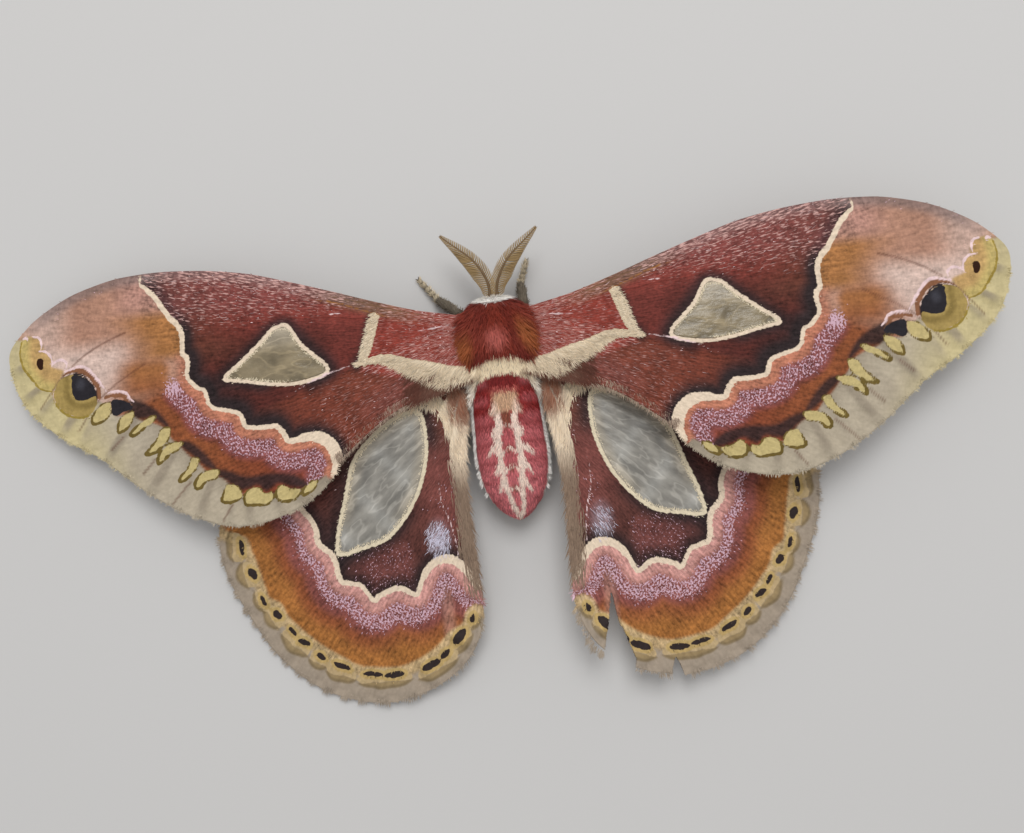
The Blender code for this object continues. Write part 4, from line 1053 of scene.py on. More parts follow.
@dataclass(frozen=True)
class ScaleFinish:
    """Scales of a wing, with marks that end in ragged rows of scales."""

    name: str = "wing scales"
    roughness: float = 0.62
    glass_roughness: float = 0.26
    ragged: float = 0.5
    crisp: float = 9.0

    def make(self) -> bpy.types.Material:
        """Builds the material."""
        s = Shader(self.name)
        lay = s.attribute("lay")
        mark_depth, spot_depth, bare = s.parts(s.attribute("depths"))
        lilac, frost, satin = s.parts(s.attribute("dust"))
        streak = s.noise(s.scaled(lay, (0.75, 4.6, 1.0)), 1.0, 3.0)
        glints = s.noise(s.scaled(lay, (1.1, 7.5, 1.7)), 1.0, 3.0)
        speck = s.noise(s.scaled(lay, (1.0, 1.35, 1.0)), 4.2, 2.0)
        mottle = s.noise(lay, 0.45, 3.0)
        fleck = s.math("SUBTRACT", s.noise(s.scaled(lay, (1.0, 1.5, 1.0)), 2.6, 3.0), 0.5)
        colour = s.attribute("ground", "Color")
        light = s.plus(s.times(mottle, 1.1), s.times(streak, 1.8))
        rough = s.math("SUBTRACT", 1.0, s.times(satin, 0.75))
        light = s.plus(s.math("SUBTRACT", light, 1.45), s.times(fleck, 1.5))
        light = s.plus(1.08, s.times(light, rough))
        scaled = s.mix(1.0, colour, s.grey(light), "MULTIPLY")
        start = s.math("SUBTRACT", 0.62, s.times(frost, 0.12))
        share = s.times(s.math("SUBTRACT", glints, start), 7.0, clamp=True)
        share = s.times(share, s.times(frost, 1.3, clamp=True))
        pale = (*Tint.GLINT.linear(), 1.0)
        scaled = s.mix(share, scaled, pale)
        start = s.math("SUBTRACT", 0.82, s.times(lilac, 0.36))
        share = s.times(s.math("SUBTRACT", speck, start), 9.0, clamp=True)
        scaled = s.mix(share, scaled, (*Tint.LILAC.linear(), 1.0))
        edge = s.times(s.math("SUBTRACT", s.noise(s.scaled(lay, (1.4, 3.4, 1.0)), 1.0, 3.0), 0.5),
                       self.ragged)
        edge_share = s.times(s.plus(mark_depth, edge), self.crisp, clamp=True)
        soft = s.plus(s.times(streak, 0.5), s.plus(s.times(fleck, 0.6), 0.77))
        mark = s.mix(1.0, s.attribute("mark", "Color"), s.grey(soft), "MULTIPLY")
        scaled = s.mix(edge_share, scaled, mark)
        edge_share = s.times(s.plus(spot_depth, s.times(edge, 0.75)), 14.0, clamp=True)
        spot = s.mix(1.0, s.attribute("spot", "Color"), s.grey(soft), "MULTIPLY")
        scaled = s.mix(edge_share, scaled, spot)
        glass = s.times(s.plus(bare, s.times(edge, 0.6)), 10.0, clamp=True)
        crinkle = s.noise(s.scaled(lay, (0.3, 0.75, 1.0)), 1.0, 6.0)
        ridge = s.math("ABSOLUTE",
                       s.math("SUBTRACT", s.noise(s.scaled(lay, (0.22, 0.6, 1.0)), 1.0, 2.0), 0.5))
        ridge = s.math("SUBTRACT", 1.0, s.times(ridge, 26.0), clamp=True)
        sheen = s.plus(s.times(crinkle, 1.9), s.times(ridge, 0.4))
        clear = s.mix(1.0, colour, s.grey(sheen), "MULTIPLY")
        roughness = s.plus(self.roughness, s.times(glass, self.glass_roughness - self.roughness))
        height = s.times(streak, s.times(rough, s.math("SUBTRACT", 1.0, glass)))
        s.bump(s.plus(height, s.times(crinkle, s.times(glass, 4.0))), 0.00012, 0.6)
        return s.finish(s.mix(glass, scaled, clear), roughness, s.plus(0.12, s.times(glass, 0.4)))


@dataclass(frozen=True)
class HairFinish:
    """Hairs and scales that stand off the skin."""

    name: str = "moth hair"
    roughness: float = 0.55
    specular: float = 0.18

    def make(self) -> bpy.types.Material:
        """Builds the material."""
        s = Shader(self.name)
        return s.finish(s.attribute("tint", "Color"), self.roughness, self.specular)


@dataclass(frozen=True)
class SkinFinish:
    """Close short fur under the tufts."""

    name: str = "moth skin"
    roughness: float = 0.75

    def make(self) -> bpy.types.Material:
        """Builds the material."""
        s = Shader(self.name)
        grain = s.noise(s.place(1000.0), 3.4, 3.0)
        shade = s.grey(s.plus(s.times(grain, 0.9), 0.4))
        s.bump(grain, 0.00015, 0.6)
        return s.finish(s.mix(1.0, s.attribute("tint", "Color"), shade, "MULTIPLY"), self.roughness, 0.2)


@dataclass(frozen=True)
class HornFinish:
    """Bare hard parts: eyes and claws."""

    name: str
    colour: tuple
    roughness: float
    facets: float = 0.0

    def make(self) -> bpy.types.Material:
        """Builds the material."""
        s = Shader(self.name)
        grain = s.noise(s.place(1000.0), 2.0, 2.0)
        pale = (*(np.array(self.colour) * 1.7), 1.0)
        if self.facets:
            cells = s.tree.nodes.new("ShaderNodeTexVoronoi")
            s.put(cells.inputs["Vector"], s.place(1000.0))
            cells.inputs["Scale"].default_value = self.facets
            s.bump(s.math("SUBTRACT", 1.0, cells.outputs["Distance"]), 0.00005, 0.8)
        return s.finish(s.mix(grain, (*self.colour, 1.0), pale), self.roughness, 0.5)


class CoatTree:
    """Geometry Nodes that stand one small shape on each root and join them all into a mesh."""

    def __init__(self) -> None:
        """Builds the tree."""
        self.tree = bpy.data.node_groups.new("stand shapes on roots", "GeometryNodeTree")
        face = self.tree.interface
        face.new_socket(name="Roots", in_out="INPUT", socket_type="NodeSocketGeometry")
        self.shape_id = face.new_socket(name="Shape", in_out="INPUT",
                                        socket_type="NodeSocketObject").identifier
        self.finish_id = face.new_socket(name="Finish", in_out="INPUT",
                                         socket_type="NodeSocketMaterial").identifier
        self.patch_id = face.new_socket(name="Patch", in_out="INPUT",
                                        socket_type="NodeSocketFloat").identifier
        face.new_socket(name="Coat", in_out="OUTPUT", socket_type="NodeSocketGeometry")
        add = self.tree.nodes.new
        link = self.tree.links.new
        start = add("NodeGroupInput")
        end = add("NodeGroupOutput")
        shape = add("GeometryNodeObjectInfo")
        link(start.outputs["Shape"], shape.inputs["Object"])
        stand = add("GeometryNodeInstanceOnPoints")
        link(start.outputs["Roots"], stand.inputs["Points"])
        link(shape.outputs["Geometry"], stand.inputs["Instance"])
        turn = add("FunctionNodeEulerToRotation")
        link(self._named("turn"), turn.inputs[0])
        link(turn.outputs[0], stand.inputs["Rotation"])
        link(self._named("size"), stand.inputs["Scale"])
        real = add("GeometryNodeRealizeInstances")
        link(stand.outputs["Instances"], real.inputs["Geometry"])
        within = add("ShaderNodeVectorMath")
        within.operation = "SCALE"
        link(self._named("patch"), within.inputs[0])
        link(start.outputs["Patch"], within.inputs["Scale"])
        place = add("ShaderNodeVectorMath")
        place.operation = "ADD"
        link(self._named("root_uv"), place.inputs[0])
        link(within.outputs[0], place.inputs[1])
        keep = add("GeometryNodeStoreNamedAttribute")
        keep.data_type = "FLOAT2"
        keep.domain = "CORNER"
        keep.inputs["Name"].default_value = "OFBake"
        link(real.outputs["Geometry"], keep.inputs["Geometry"])
        link(place.outputs[0], keep.inputs["Value"])
        finish = add("GeometryNodeSetMaterial")
        link(keep.outputs["Geometry"], finish.inputs["Geometry"])
        link(start.outputs["Finish"], finish.inputs["Material"])
        link(finish.outputs["Geometry"], end.inputs["Coat"])

    def _named(self, name: str) -> bpy.types.NodeSocket:
        """Output that reads a vector of that name."""
        node = self.tree.nodes.new("GeometryNodeInputNamedAttribute")
        node.data_type = "FLOAT_VECTOR"
        node.inputs["Name"].default_value = name
        return node.outputs["Attribute"]


class Shape:
    """Small shapes that are repeated, lying along +X with a length of one."""

    @staticmethod
    def _tube(name: str, rings: list, sides: int) -> bpy.types.Object:
        """A closed strand through rings of (x, z, half width), ending in a point.

        Args:
            name: Its name.
            rings: Its rings from the root, the last one the tip.
            sides: Faces round it.

        Returns:
            The object, outside the scene.
        """
        points = []
        patch = []
        for x, z, half in rings[:-1]:
            for k in range(sides):
                angle = 2.0 * math.pi * k / sides + 0.5 * math.pi
                points.append((x, half * math.cos(angle), z + half * math.sin(angle)))
                patch.append((x - 0.5, math.cos(angle) / 2, 0.0))
        points.append((rings[-1][0], 0.0, rings[-1][1]))
        patch.append((0.5, 0.0, 0.0))
        faces = [tuple(range(sides))[::-1]]
        for i in range(len(rings) - 2):
            for k in range(sides):
                after = (k + 1) % sides
                faces.append((i * sides + k, i * sides + after, (i + 1) * sides + after, (i + 1) * sides + k))
        last = (len(rings) - 2) * sides
        faces += [(last + k, last + (k + 1) % sides, len(points) - 1) for k in range(sides)]
        mesh = mesh_of(name, np.array(points), faces)
        mesh.polygons.foreach_set("use_smooth", [sides > 3] * len(faces))
        store(mesh, "patch", np.array(patch))
        return bpy.data.objects.new(name, mesh)

    @classmethod
    def tuft(cls) -> bpy.types.Object:
        """A short lock that bows over its skin."""
        return cls._tube("tuft shape", [(0.0, -0.5, 0.45), (0.55, 1.0, 0.42), (1.0, 0.9, 0.0)], 3)

    @classmethod
    def ray(cls) -> bpy.types.Object:
        """A thin antenna ray that bows towards the antenna's tip."""
        return cls._tube("ray shape",
                         [(0.0, 0.0, 0.5), (0.3, 0.2, 0.46), (0.62, 0.6, 0.42), (0.86, 1.2, 0.34),
                                       (1.0, 1.8, 0.0)], 5)


@dataclass
class Coater:
    """Makes coat pieces from locks."""

    tree: CoatTree
    tuft: bpy.types.Object
    finish: bpy.types.Material
    patch: float = 0.003

    def coat(self, name: str, locks: Locks, slot: str, shape: bpy.types.Object | None = None) -> None:
        """Stands every lock and hands the piece over.

        Args:
            name: The piece's name.
            locks: Its tufts.
            slot: Handed on to ride.
            shape: The repeated shape, or the tuft.
        """
        roots = bpy.data.meshes.new(name + " roots")
        roots.from_pydata(to_world(locks.roots).tolist(), [], [])
        store(roots, "turn", locks.turns())
        store(roots, "size", locks.sizes * MM)
        store(roots, "tint", locks.tint, "FLOAT_COLOR")
        store(roots, "root_uv", np.hstack([locks.bake, np.zeros((len(locks.bake), 1))]))
        stand = show(name + " roots", roots)
        grow = stand.modifiers.new("coat", "NODES")
        grow.node_group = self.tree.tree
        grow[self.tree.shape_id] = shape or self.tuft
        grow[self.tree.finish_id] = self.finish
        grow[self.tree.patch_id] = self.patch
        mesh = bpy.data.meshes.new_from_object(stand.evaluated_get(bpy.context.evaluated_depsgraph_get()))
        bpy.data.objects.remove(stand)
        for spare in ("turn", "size", "root_uv", "patch"):
            mesh.attributes.remove(mesh.attributes[spare])
        mesh.name = name
        ride(show(name, mesh), slot)


@dataclass(frozen=True)
class WingPose:
    """Where a wing's plane lies: u runs outwards from the hinge and v forwards."""

    name: str
    slot: str
    side: int
    hinge: tuple
    sweep: float
    dihedral: float
    twist: float
    arch: float
    span: float

    def turn(self) -> np.ndarray:
        """The plane's rotation, before any mirroring."""
        made = (Matrix.Rotation(math.radians(self.sweep), 3, "Z")
                @ Matrix.Rotation(math.radians(-self.dihedral), 3, "Y")
                @ Matrix.Rotation(math.radians(self.twist), 3, "X"))
        return np.array(made)

    def vectors(self, v: np.ndarray) -> np.ndarray:
        """Directions of the wing's plane in the solids' frame."""
        return v @ self.turn().T * np.array([self.side, 1.0, 1.0])

    def middle(self, p: Points) -> Amounts:
        """Height of the arched middle surface over the plane."""
        share = np.clip(np.hypot(*p.T) / self.span, 0.0, 1.0)
        return 4.0 * self.arch * share * (1.0 - share)

    def points(self, p: Points, height: Amounts) -> np.ndarray:
        """Points of the plane, raised over the middle surface, in the solids' frame."""
        flat = np.column_stack([p, self.middle(p) + height])
        return (flat @ self.turn().T + np.array(self.hinge)) * np.array([self.side, 1.0, 1.0])


POSES = (
    WingPose("forewing_left", "forewings", -1, (4.6, 2.0, 7.2), 2.0, -4.6, 0.0, 0.7, 60.4),
    WingPose("forewing_right", "forewings", 1, (4.6, 2.0, 7.2), -2.0, -1.0, -0.5, 0.7, 60.4),
    WingPose("hindwing_left", "hindwings", -1, (4.4, -1.5, 5.85), 0.7, -4.6, 5.0, 0.6, 44.0),
    WingPose("hindwing_right", "hindwings", 1, (4.4, -1.5, 5.85), -0.7, -8.0, 0.5, 0.6, 44.0),
)


@dataclass
class WingPlan:
    """A grid over a wing's plane with its colours, heights and tuft roots, shared by both sides."""

    pattern: ForePattern | HindPattern
    low: Points
    high: Points
    stations: Amounts
    rows: int
    axis: int
    bake_scale: float
    half_thickness: float = 0.2
    margin_half: float = 0.05
    vein_height: float = 0.15
    places: Points = field(init=False)
    quads: np.ndarray = field(init=False)

    def __post_init__(self) -> None:
        """Lays the grid and colours it."""
        low = self.low[np.argsort(self.low[:, self.axis])]
        high = self.high[np.argsort(self.high[:, self.axis])]
        other = 1 - self.axis
        a = np.interp(self.stations, low[:, self.axis], low[:, other])
        b = np.interp(self.stations, high[:, self.axis], high[:, other])
        share = np.linspace(0.0, 1.0, self.rows)
        across = a[:, None] + (b - a)[:, None] * share
        along = np.repeat(self.stations[:, None], self.rows, axis=1)
        pair = (along, across) if self.axis == 0 else (across, along)
        self.places = np.stack([pair[0].ravel(), pair[1].ravel()], axis=1)
        index = np.arange(len(self.places)).reshape(len(self.stations), self.rows)
        corners = [index[:-1, :-1], index[1:, :-1], index[1:, 1:], index[:-1, 1:]]
        if self.axis == 1:
            corners = [corners[0], corners[3], corners[2], corners[1]]
        self.quads = np.stack([c.ravel() for c in corners], axis=1)
        self.paint = self.pattern.paint(self.places)
        self.outline = Route.ring(np.vstack([self.high, self.low[::-1]]))
        self.relief = self.heights(self.places, self.paint.bare)

    def half_at(self, p: Points) -> Amounts:
        """Half the wing's thickness at each place: thin at the margin, thick at the root."""
        edge = np.minimum(self.pattern.outer_edge.distance(p), 1.2) / 1.2
        half = self.margin_half + (self.half_thickness - self.margin_half) * edge
        return half + 0.3 * np.exp(-((p[:, 0].clip(0.0) / 3.0) ** 2))

    def heights(self, p: Points, bare: Amounts) -> Amounts:
        """Height of veins, pleats and creases over the flat wing.

        Args:
            p: Places on the plane.
            bare: Depth within the window.

        Returns:
            Heights in millimetres.
        """
        u, v = p.T
        out = 0.05 * np.sin(0.9 * u - 0.35 * v) * np.sin(0.45 * v + 0.12 * u)
        covered = smooth(0.3, -0.3, bare)
        for vein in self.pattern.VEINS:
            away, along = Route(vein).nearest(p)
            out += self.vein_height * (1.0 - 0.6 * along) * np.exp(-((away / 0.24) ** 2)) * covered
            out -= 0.1 * smooth(3.0, 0.4, away) * covered * smooth(0.0, 0.3, along)
        for crease in self.pattern.CREASES:
            out += 0.035 * np.exp(-((Route(crease).distance(p) / 0.3) ** 2)) * (1.0 - covered)
        from_edge, along = self.pattern.outer_edge.nearest(p)
        out += 0.2 * folds(along) * smooth(6.0, 2.0, from_edge) * smooth(0.0, 1.0, from_edge)
        return out - 0.06 * (1.0 - covered)

    def flow(self, p: Points) -> Points:
        """The way scales lie: out from the hinge, turning to the margin."""
        radial = unit(p + np.array([7.0, 1.5]))
        outline = self.pattern.outer_edge.points
        step = unit(np.gradient(outline, axis=0))
        away, along = self.pattern.outer_edge.nearest(p)
        at = np.clip((along * (len(outline) - 1)).round().astype(int), 0, len(outline) - 1)
        normal = np.stack([-step[at, 1], step[at, 0]], axis=1)
        normal *= np.sign(np.sum(normal * (outline[at] - np.array([20.0, -8.0])), axis=1))[:, None]
        return unit(radial + normal * smooth(9.0, 1.0, away)[:, None] * 1.6)

    def bake_at(self, p: Points, top: bool = True) -> Points:
        """Places on the unwrap: the upper side left, the underside right."""
        out = (p + np.array([3.4, 43.6 if self.axis else 23.6])) * self.bake_scale
        return out + np.array([0.004 if top else 0.504, 0.004])

    def roots(self, rng: np.random.Generator, count: int, area: tuple) -> Points:
        """Random places on the wing.

        Args:
            rng: Source of the places.
            count: How many are tried.
            area: Box of u and v.

        Returns:
            Those within the outline.
        """
        tried = rng.uniform((area[0], area[2]), (area[1], area[3]), (count, 2))
        return tried[self.outline.holds(tried)]


class Wing:
    """One wing's skin and coat."""

    def __init__(self, plan: WingPlan, pose: WingPose, scales: bpy.types.Material, seed: int) -> None:
        """Ties a plan to a pose.

        Args:
            plan: The shared plan.
            pose: Where it lies.
            scales: The skin's material.
            seed: Seed of its tufts.
        """
        self.plan = plan
        self.pose = pose
        self.scales = scales
        self.rng = np.random.default_rng(seed)
        self.torn = pose.name == "hindwing_right"

    def skin(self) -> None:
        """Builds the closed thin wing with its colours."""
        plan = self.plan
        places = plan.places.copy()
        quads = plan.quads
        if self.torn:
            loop = Route.ring(np.vstack([spline(HindPattern.COSTA), spline(HindPattern.OUTER)[1:], TEAR[1:],
                                         spline(HindPattern.ANAL)[1:]]))
            middles = places[quads].mean(axis=1)
            quads = quads[loop.holds(middles) | (middles[:, 1] > TEAR_FRONT)]
            used = np.unique(quads)
            outside = used[~loop.holds(places[used]) & (places[used, 1] < TEAR_FRONT)]
            fine = spline(TEAR, 0.05)
            spots = fine[np.linalg.norm(places[outside][:, None] - fine[None], axis=2).argmin(axis=1)]
            near = np.linalg.norm(spots - places[outside], axis=1) < 0.5
            places[outside[near]] = spots[near]
        half = plan.half_at(places)
        top = self.pose.points(places, half + plan.relief)
        low = self.pose.points(places, -half + 0.6 * plan.relief)
        count = len(places)
        sides = np.sort(np.concatenate([quads[:, [k, (k + 1) % 4]] for k in range(4)]), axis=1)
        directed = np.concatenate([quads[:, [k, (k + 1) % 4]] for k in range(4)])
        _, first, uses = np.unique(sides, axis=0, return_index=True, return_counts=True)
        rim = directed[first[uses == 1]]
        strip = np.column_stack([rim[:, 0], rim[:, 0] + count, rim[:, 1] + count, rim[:, 1]])
        faces = np.vstack([quads, quads[:, ::-1] + count, strip])
        if self.pose.side < 0:
            faces = faces[:, ::-1]
        used, faces = np.unique(faces, return_inverse=True)
        faces = faces.reshape(-1, 4)
        points = np.vstack([top, low])[used]
        mesh = mesh_of(self.pose.name + "_skin", to_world(points), faces.tolist())
        self._colour(mesh, used, count)
        both = np.vstack([plan.bake_at(places), plan.bake_at(places, False)])[used]
        unwrap = mesh.uv_layers.new(name="OFBake")
        unwrap.data.foreach_set("uv", both[faces.ravel()].ravel())
        mesh.materials.append(self.scales)
        ride(show(self.pose.name + "_skin", mesh), self.pose.slot, self.pose.name)

    def _colour(self, mesh: bpy.types.Mesh, used: np.ndarray, count: int) -> None:
        """Stores the pattern on both sides, the underside greyer.

        Args:
            mesh: The wing.
            used: Indices of its points in the plan's two sides.
            count: Points on one side.
        """
        paint = self.plan.paint
        under = paint.ground * 0.55 + 0.45 * Tint.HAIR_GREY.linear()
        store(mesh, "ground", np.vstack([paint.ground, under])[used], "FLOAT_COLOR")
        store(mesh, "mark", np.vstack([paint.mark, paint.mark])[used], "FLOAT_COLOR")
        store(mesh, "spot", np.vstack([paint.spot, paint.spot])[used], "FLOAT_COLOR")
        depths = np.column_stack([paint.mark_depth, paint.spot_depth, paint.bare])
        store(mesh, "depths", np.vstack([depths, depths])[used])
        dust = np.column_stack([paint.lilac, paint.frost, paint.satin])
        store(mesh, "dust", np.vstack([dust, dust * 0.7])[used])
        p = self.plan.places
        lay = np.column_stack([np.hypot(p[:, 0] + 7.0, p[:, 1]), 24.0 * np.arctan2(p[:, 1], p[:, 0] + 7.0),
                               np.zeros(count)])
        store(mesh, "lay", np.vstack([lay, lay + np.array([40.0, 9.0, 30.0])])[used])

    def locks(self, p: Points, ways: Points, lay: Lay, tint: np.ndarray | None = None, top: bool = True,
              spread: float = 0.16) -> Locks:
        """Tufts that stand on the wing.

        Args:
            p: Their roots on the plane.
            ways: The way each lies on the plane.
            lay: Their kind.
            tint: Their colours, or None for the pattern's own.
            top: Whether they stand on the upper side.
            spread: How far they stray.

        Returns:
            The tufts.
        """
        paint = self.plan.pattern.paint(p) if tint is None else None
        colours = paint.seen(self.rng) if tint is None else tint
        if not top:
            colours = colours * 0.6 + 0.4 * Tint.HAIR_GREY.linear()
        sign = 1.0 if top else -1.0
        half = self.plan.half_at(p)
        relief = self.plan.heights(p, np.full(len(p), -1.0))
        roots = self.pose.points(p, sign * (half - 0.03) + relief * (1.0 if top else 0.6))
        lie = self.pose.vectors(np.column_stack([ways, np.zeros(len(p))]))
        up = np.tile(self.pose.vectors(np.array([[0.0, 0.0, sign]])), (len(p), 1))
        return Locks.grown(roots, lie, up, colours, self.plan.bake_at(p, top), lay, self.rng, spread)

    def along_edge(self, line: Points, step: float, inset: float) -> tuple[Points, Points]:
        """Roots along an edge and the outward way at each.

        Args:
            line: The edge's points.
            step: Mean spacing.
            inset: How far in they may stand.

        Returns:
            Roots and ways.
        """
        runs = np.diff(line, axis=0)
        lengths = np.hypot(*runs.T)
        reach = np.concatenate([[0.0], np.cumsum(lengths)])
        spots = self.rng.uniform(0.0, reach[-1], int(reach[-1] / step))
        roots = np.column_stack([np.interp(spots, reach, line[:, 0]), np.interp(spots, reach, line[:, 1])])
        at = np.clip(np.searchsorted(reach, spots) - 1, 0, len(runs) - 1)
        ways = unit(np.column_stack([-runs[at, 1], runs[at, 0]]))
        inward = self.plan.outline.holds(roots + 0.3 * ways)
        ways[inward] *= -1.0
        return roots - ways * self.rng.uniform(0.05, inset, (len(roots), 1)), ways


class ForeWing(Wing):
    """A forewing."""

    # The field of its scales on the plane: least and greatest u, then v
    AREA = (0.6, 60.4, -22.1, 11.8)

    def coat(self, coater: Coater) -> None:
        """Grows its scales, bands and fringes."""
        rng = self.rng
        plan = self.plan
        pattern = plan.pattern
        tries = FULL_TRIES
        p = plan.roots(rng, int(0.66 * tries), self.AREA)
        paint = pattern.paint(p)
        p = p[(paint.bare < -0.15) & (pattern.margin_field.depth(p) < rng.uniform(-0.5, 1.2, len(p)))]
        groups = [self.locks(p, plan.flow(p), Lay.SCALE)]
        p = plan.roots(rng, tries, (0.6, 44.0, -16.0, 11.8))
        paint = pattern.paint(p)
        tuft_share = smooth(-0.5, 0.9, np.sin(1.3 * p[:, 0] + 0.8 * p[:, 1])
                            * np.sin(0.7 * p[:, 0] - 2.1 * p[:, 1]))
        kept = (rng.random(len(p)) < 0.3 * paint.frost * tuft_share) & (paint.bare < -0.3)
        kept &= paint.mark_depth < -0.2
        share = rng.uniform(0.15, 0.75, (kept.sum(), 1))
        tint = paint.ground[kept] * (1.0 - share) + Tint.SHELL_PINK.linear() * share
        groups.append(self.locks(p[kept], plan.flow(p[kept]), Lay.FROST, tint, spread=0.3))
        p = plan.roots(rng, 2 * tries, (-1.2, 14.0, -8.4, 0.0))
        depth = pattern.band.stripe(p, (0.2, 0.4, 0.55, 0.7, 0.85, 1.0, 1.05, 1.1))
        p = p[depth > 0.0]
        ways = unit(np.column_stack([np.full(len(p), 0.9), -0.15 - 0.1 * (12.0 - p[:, 0])]))
        tint = self.blend(Tint.BAND_CREAM, Tint.FLUFF, rng.random(len(p)) ** 2)
        band = self.locks(p, ways, Lay.BAND, tint, spread=0.3)
        band.sizes[:, 0] *= 1.0 - 0.6 * smooth(4.0, 11.0, p[:, 0])
        groups.append(band)
        # Hair that spills back from the band, cream near it and dun further back; the dun is partly the
        # wing's own umber hair and partly a painted shadow of the band.
        p = plan.roots(rng, tries, (-2.0, 7.5, -8.6, -4.6))
        behind = -4.9 + 0.16 * p[:, 0] - p[:, 1]
        p = p[(behind > rng.uniform(-0.3, 0.2, len(p))) & (rng.random(len(p)) > smooth(3.8, 7.4, p[:, 0]))]
        fall = smooth(0.1, 0.9, -4.9 + 0.16 * p[:, 0] - p[:, 1] + 0.6 * smooth(1.0, 4.0, p[:, 0]))
        tint = self.blend(Tint.BAND_CREAM, Tint.DUN, fall)
        beige = (smooth(2.2, 1.0, np.abs(p[:, 0] - 3.2)) * 0.25 * rng.random(len(p)))[:, None]
        tint = tint * (1.0 - beige) + Tint.BEIGE.linear() * beige
        p_ways = unit(np.column_stack([0.05 + 0.1 * p[:, 0], np.full(len(p), -1.0)]))
        groups.append(self.locks(p, p_ways, Lay.SPILL, tint, spread=0.25))
        p = plan.roots(rng, tries // 2, (8.0, 14.0, -4.0, 3.4))
        p = p[pattern.bar.stripe(p, (0.55, 0.6, 0.58, 0.5, 0.3)) > 0.0]
        ways = np.tile([0.9, -0.3], (len(p), 1))
        groups.append(self.locks(p, ways, Lay.BAR,
                                 self.blend(Tint.BAND_CREAM, Tint.FLUFF, rng.random(len(p))), spread=0.3))
        groups.append(self.rim_hairs(pattern.window))
        line = pattern.outer_edge.points
        p, ways = self.along_edge(line, 0.032, 0.7)
        groups.append(self.ragged(self.locks(p, ways, Lay.FRINGE, spread=0.22), p, 0.8))
        p, ways = self.along_edge(spline([(5.0, -8.0), (10.2, -10.5), (15.0, -14.1), (16.3, -15.2)]),
                                  0.014, 1.3)
        tint = self.blend(Tint.HAIR_GREY, Tint.DUN, 0.6 * rng.random(len(p)))
        groups.append(self.locks(p, unit(ways + np.array([0.5, -0.2])), Lay.REAR_FRINGE, tint, spread=0.3))
        p = plan.roots(rng, tries // 4, self.AREA)
        groups.append(self.locks(p, plan.flow(p), Lay.SCALE, top=False))
        coater.coat(self.pose.name + "_coat", Locks.joined(groups), self.pose.slot)

    @staticmethod
    def blend(first: Tint, second: Tint, share: Amounts) -> np.ndarray:
        """Linear colours between two tints, one a row."""
        part = share[:, None]
        return first.linear() * (1.0 - part) + second.linear() * part

    @staticmethod
    def ragged(locks: Locks, p: Points, uneven: float) -> Locks:
        """Tufts made long and short in clumps, as a worn fringe is."""
        clump = np.sin(1.9 * p[:, 0] + 2.3 * p[:, 1]) + 0.6 * np.sin(4.3 * p[:, 0] - 3.7 * p[:, 1])
        locks.sizes[:, 0] *= 0.55 + uneven * smooth(-1.0, 1.3, clump)
        return locks

    def rim_hairs(self, window: Route) -> Locks:
        """Short hairs that reach from the window's rim over the bare membrane."""
        p, _ = self.along_edge(np.vstack([window.points, window.points[:1]]), 0.05, 0.4)
        tint = np.tile(Tint.RIM_CREAM.linear(), (len(p), 1))
        return self.locks(p, unit(window.points.mean(axis=0) - p), Lay.RIM, tint, spread=0.45)


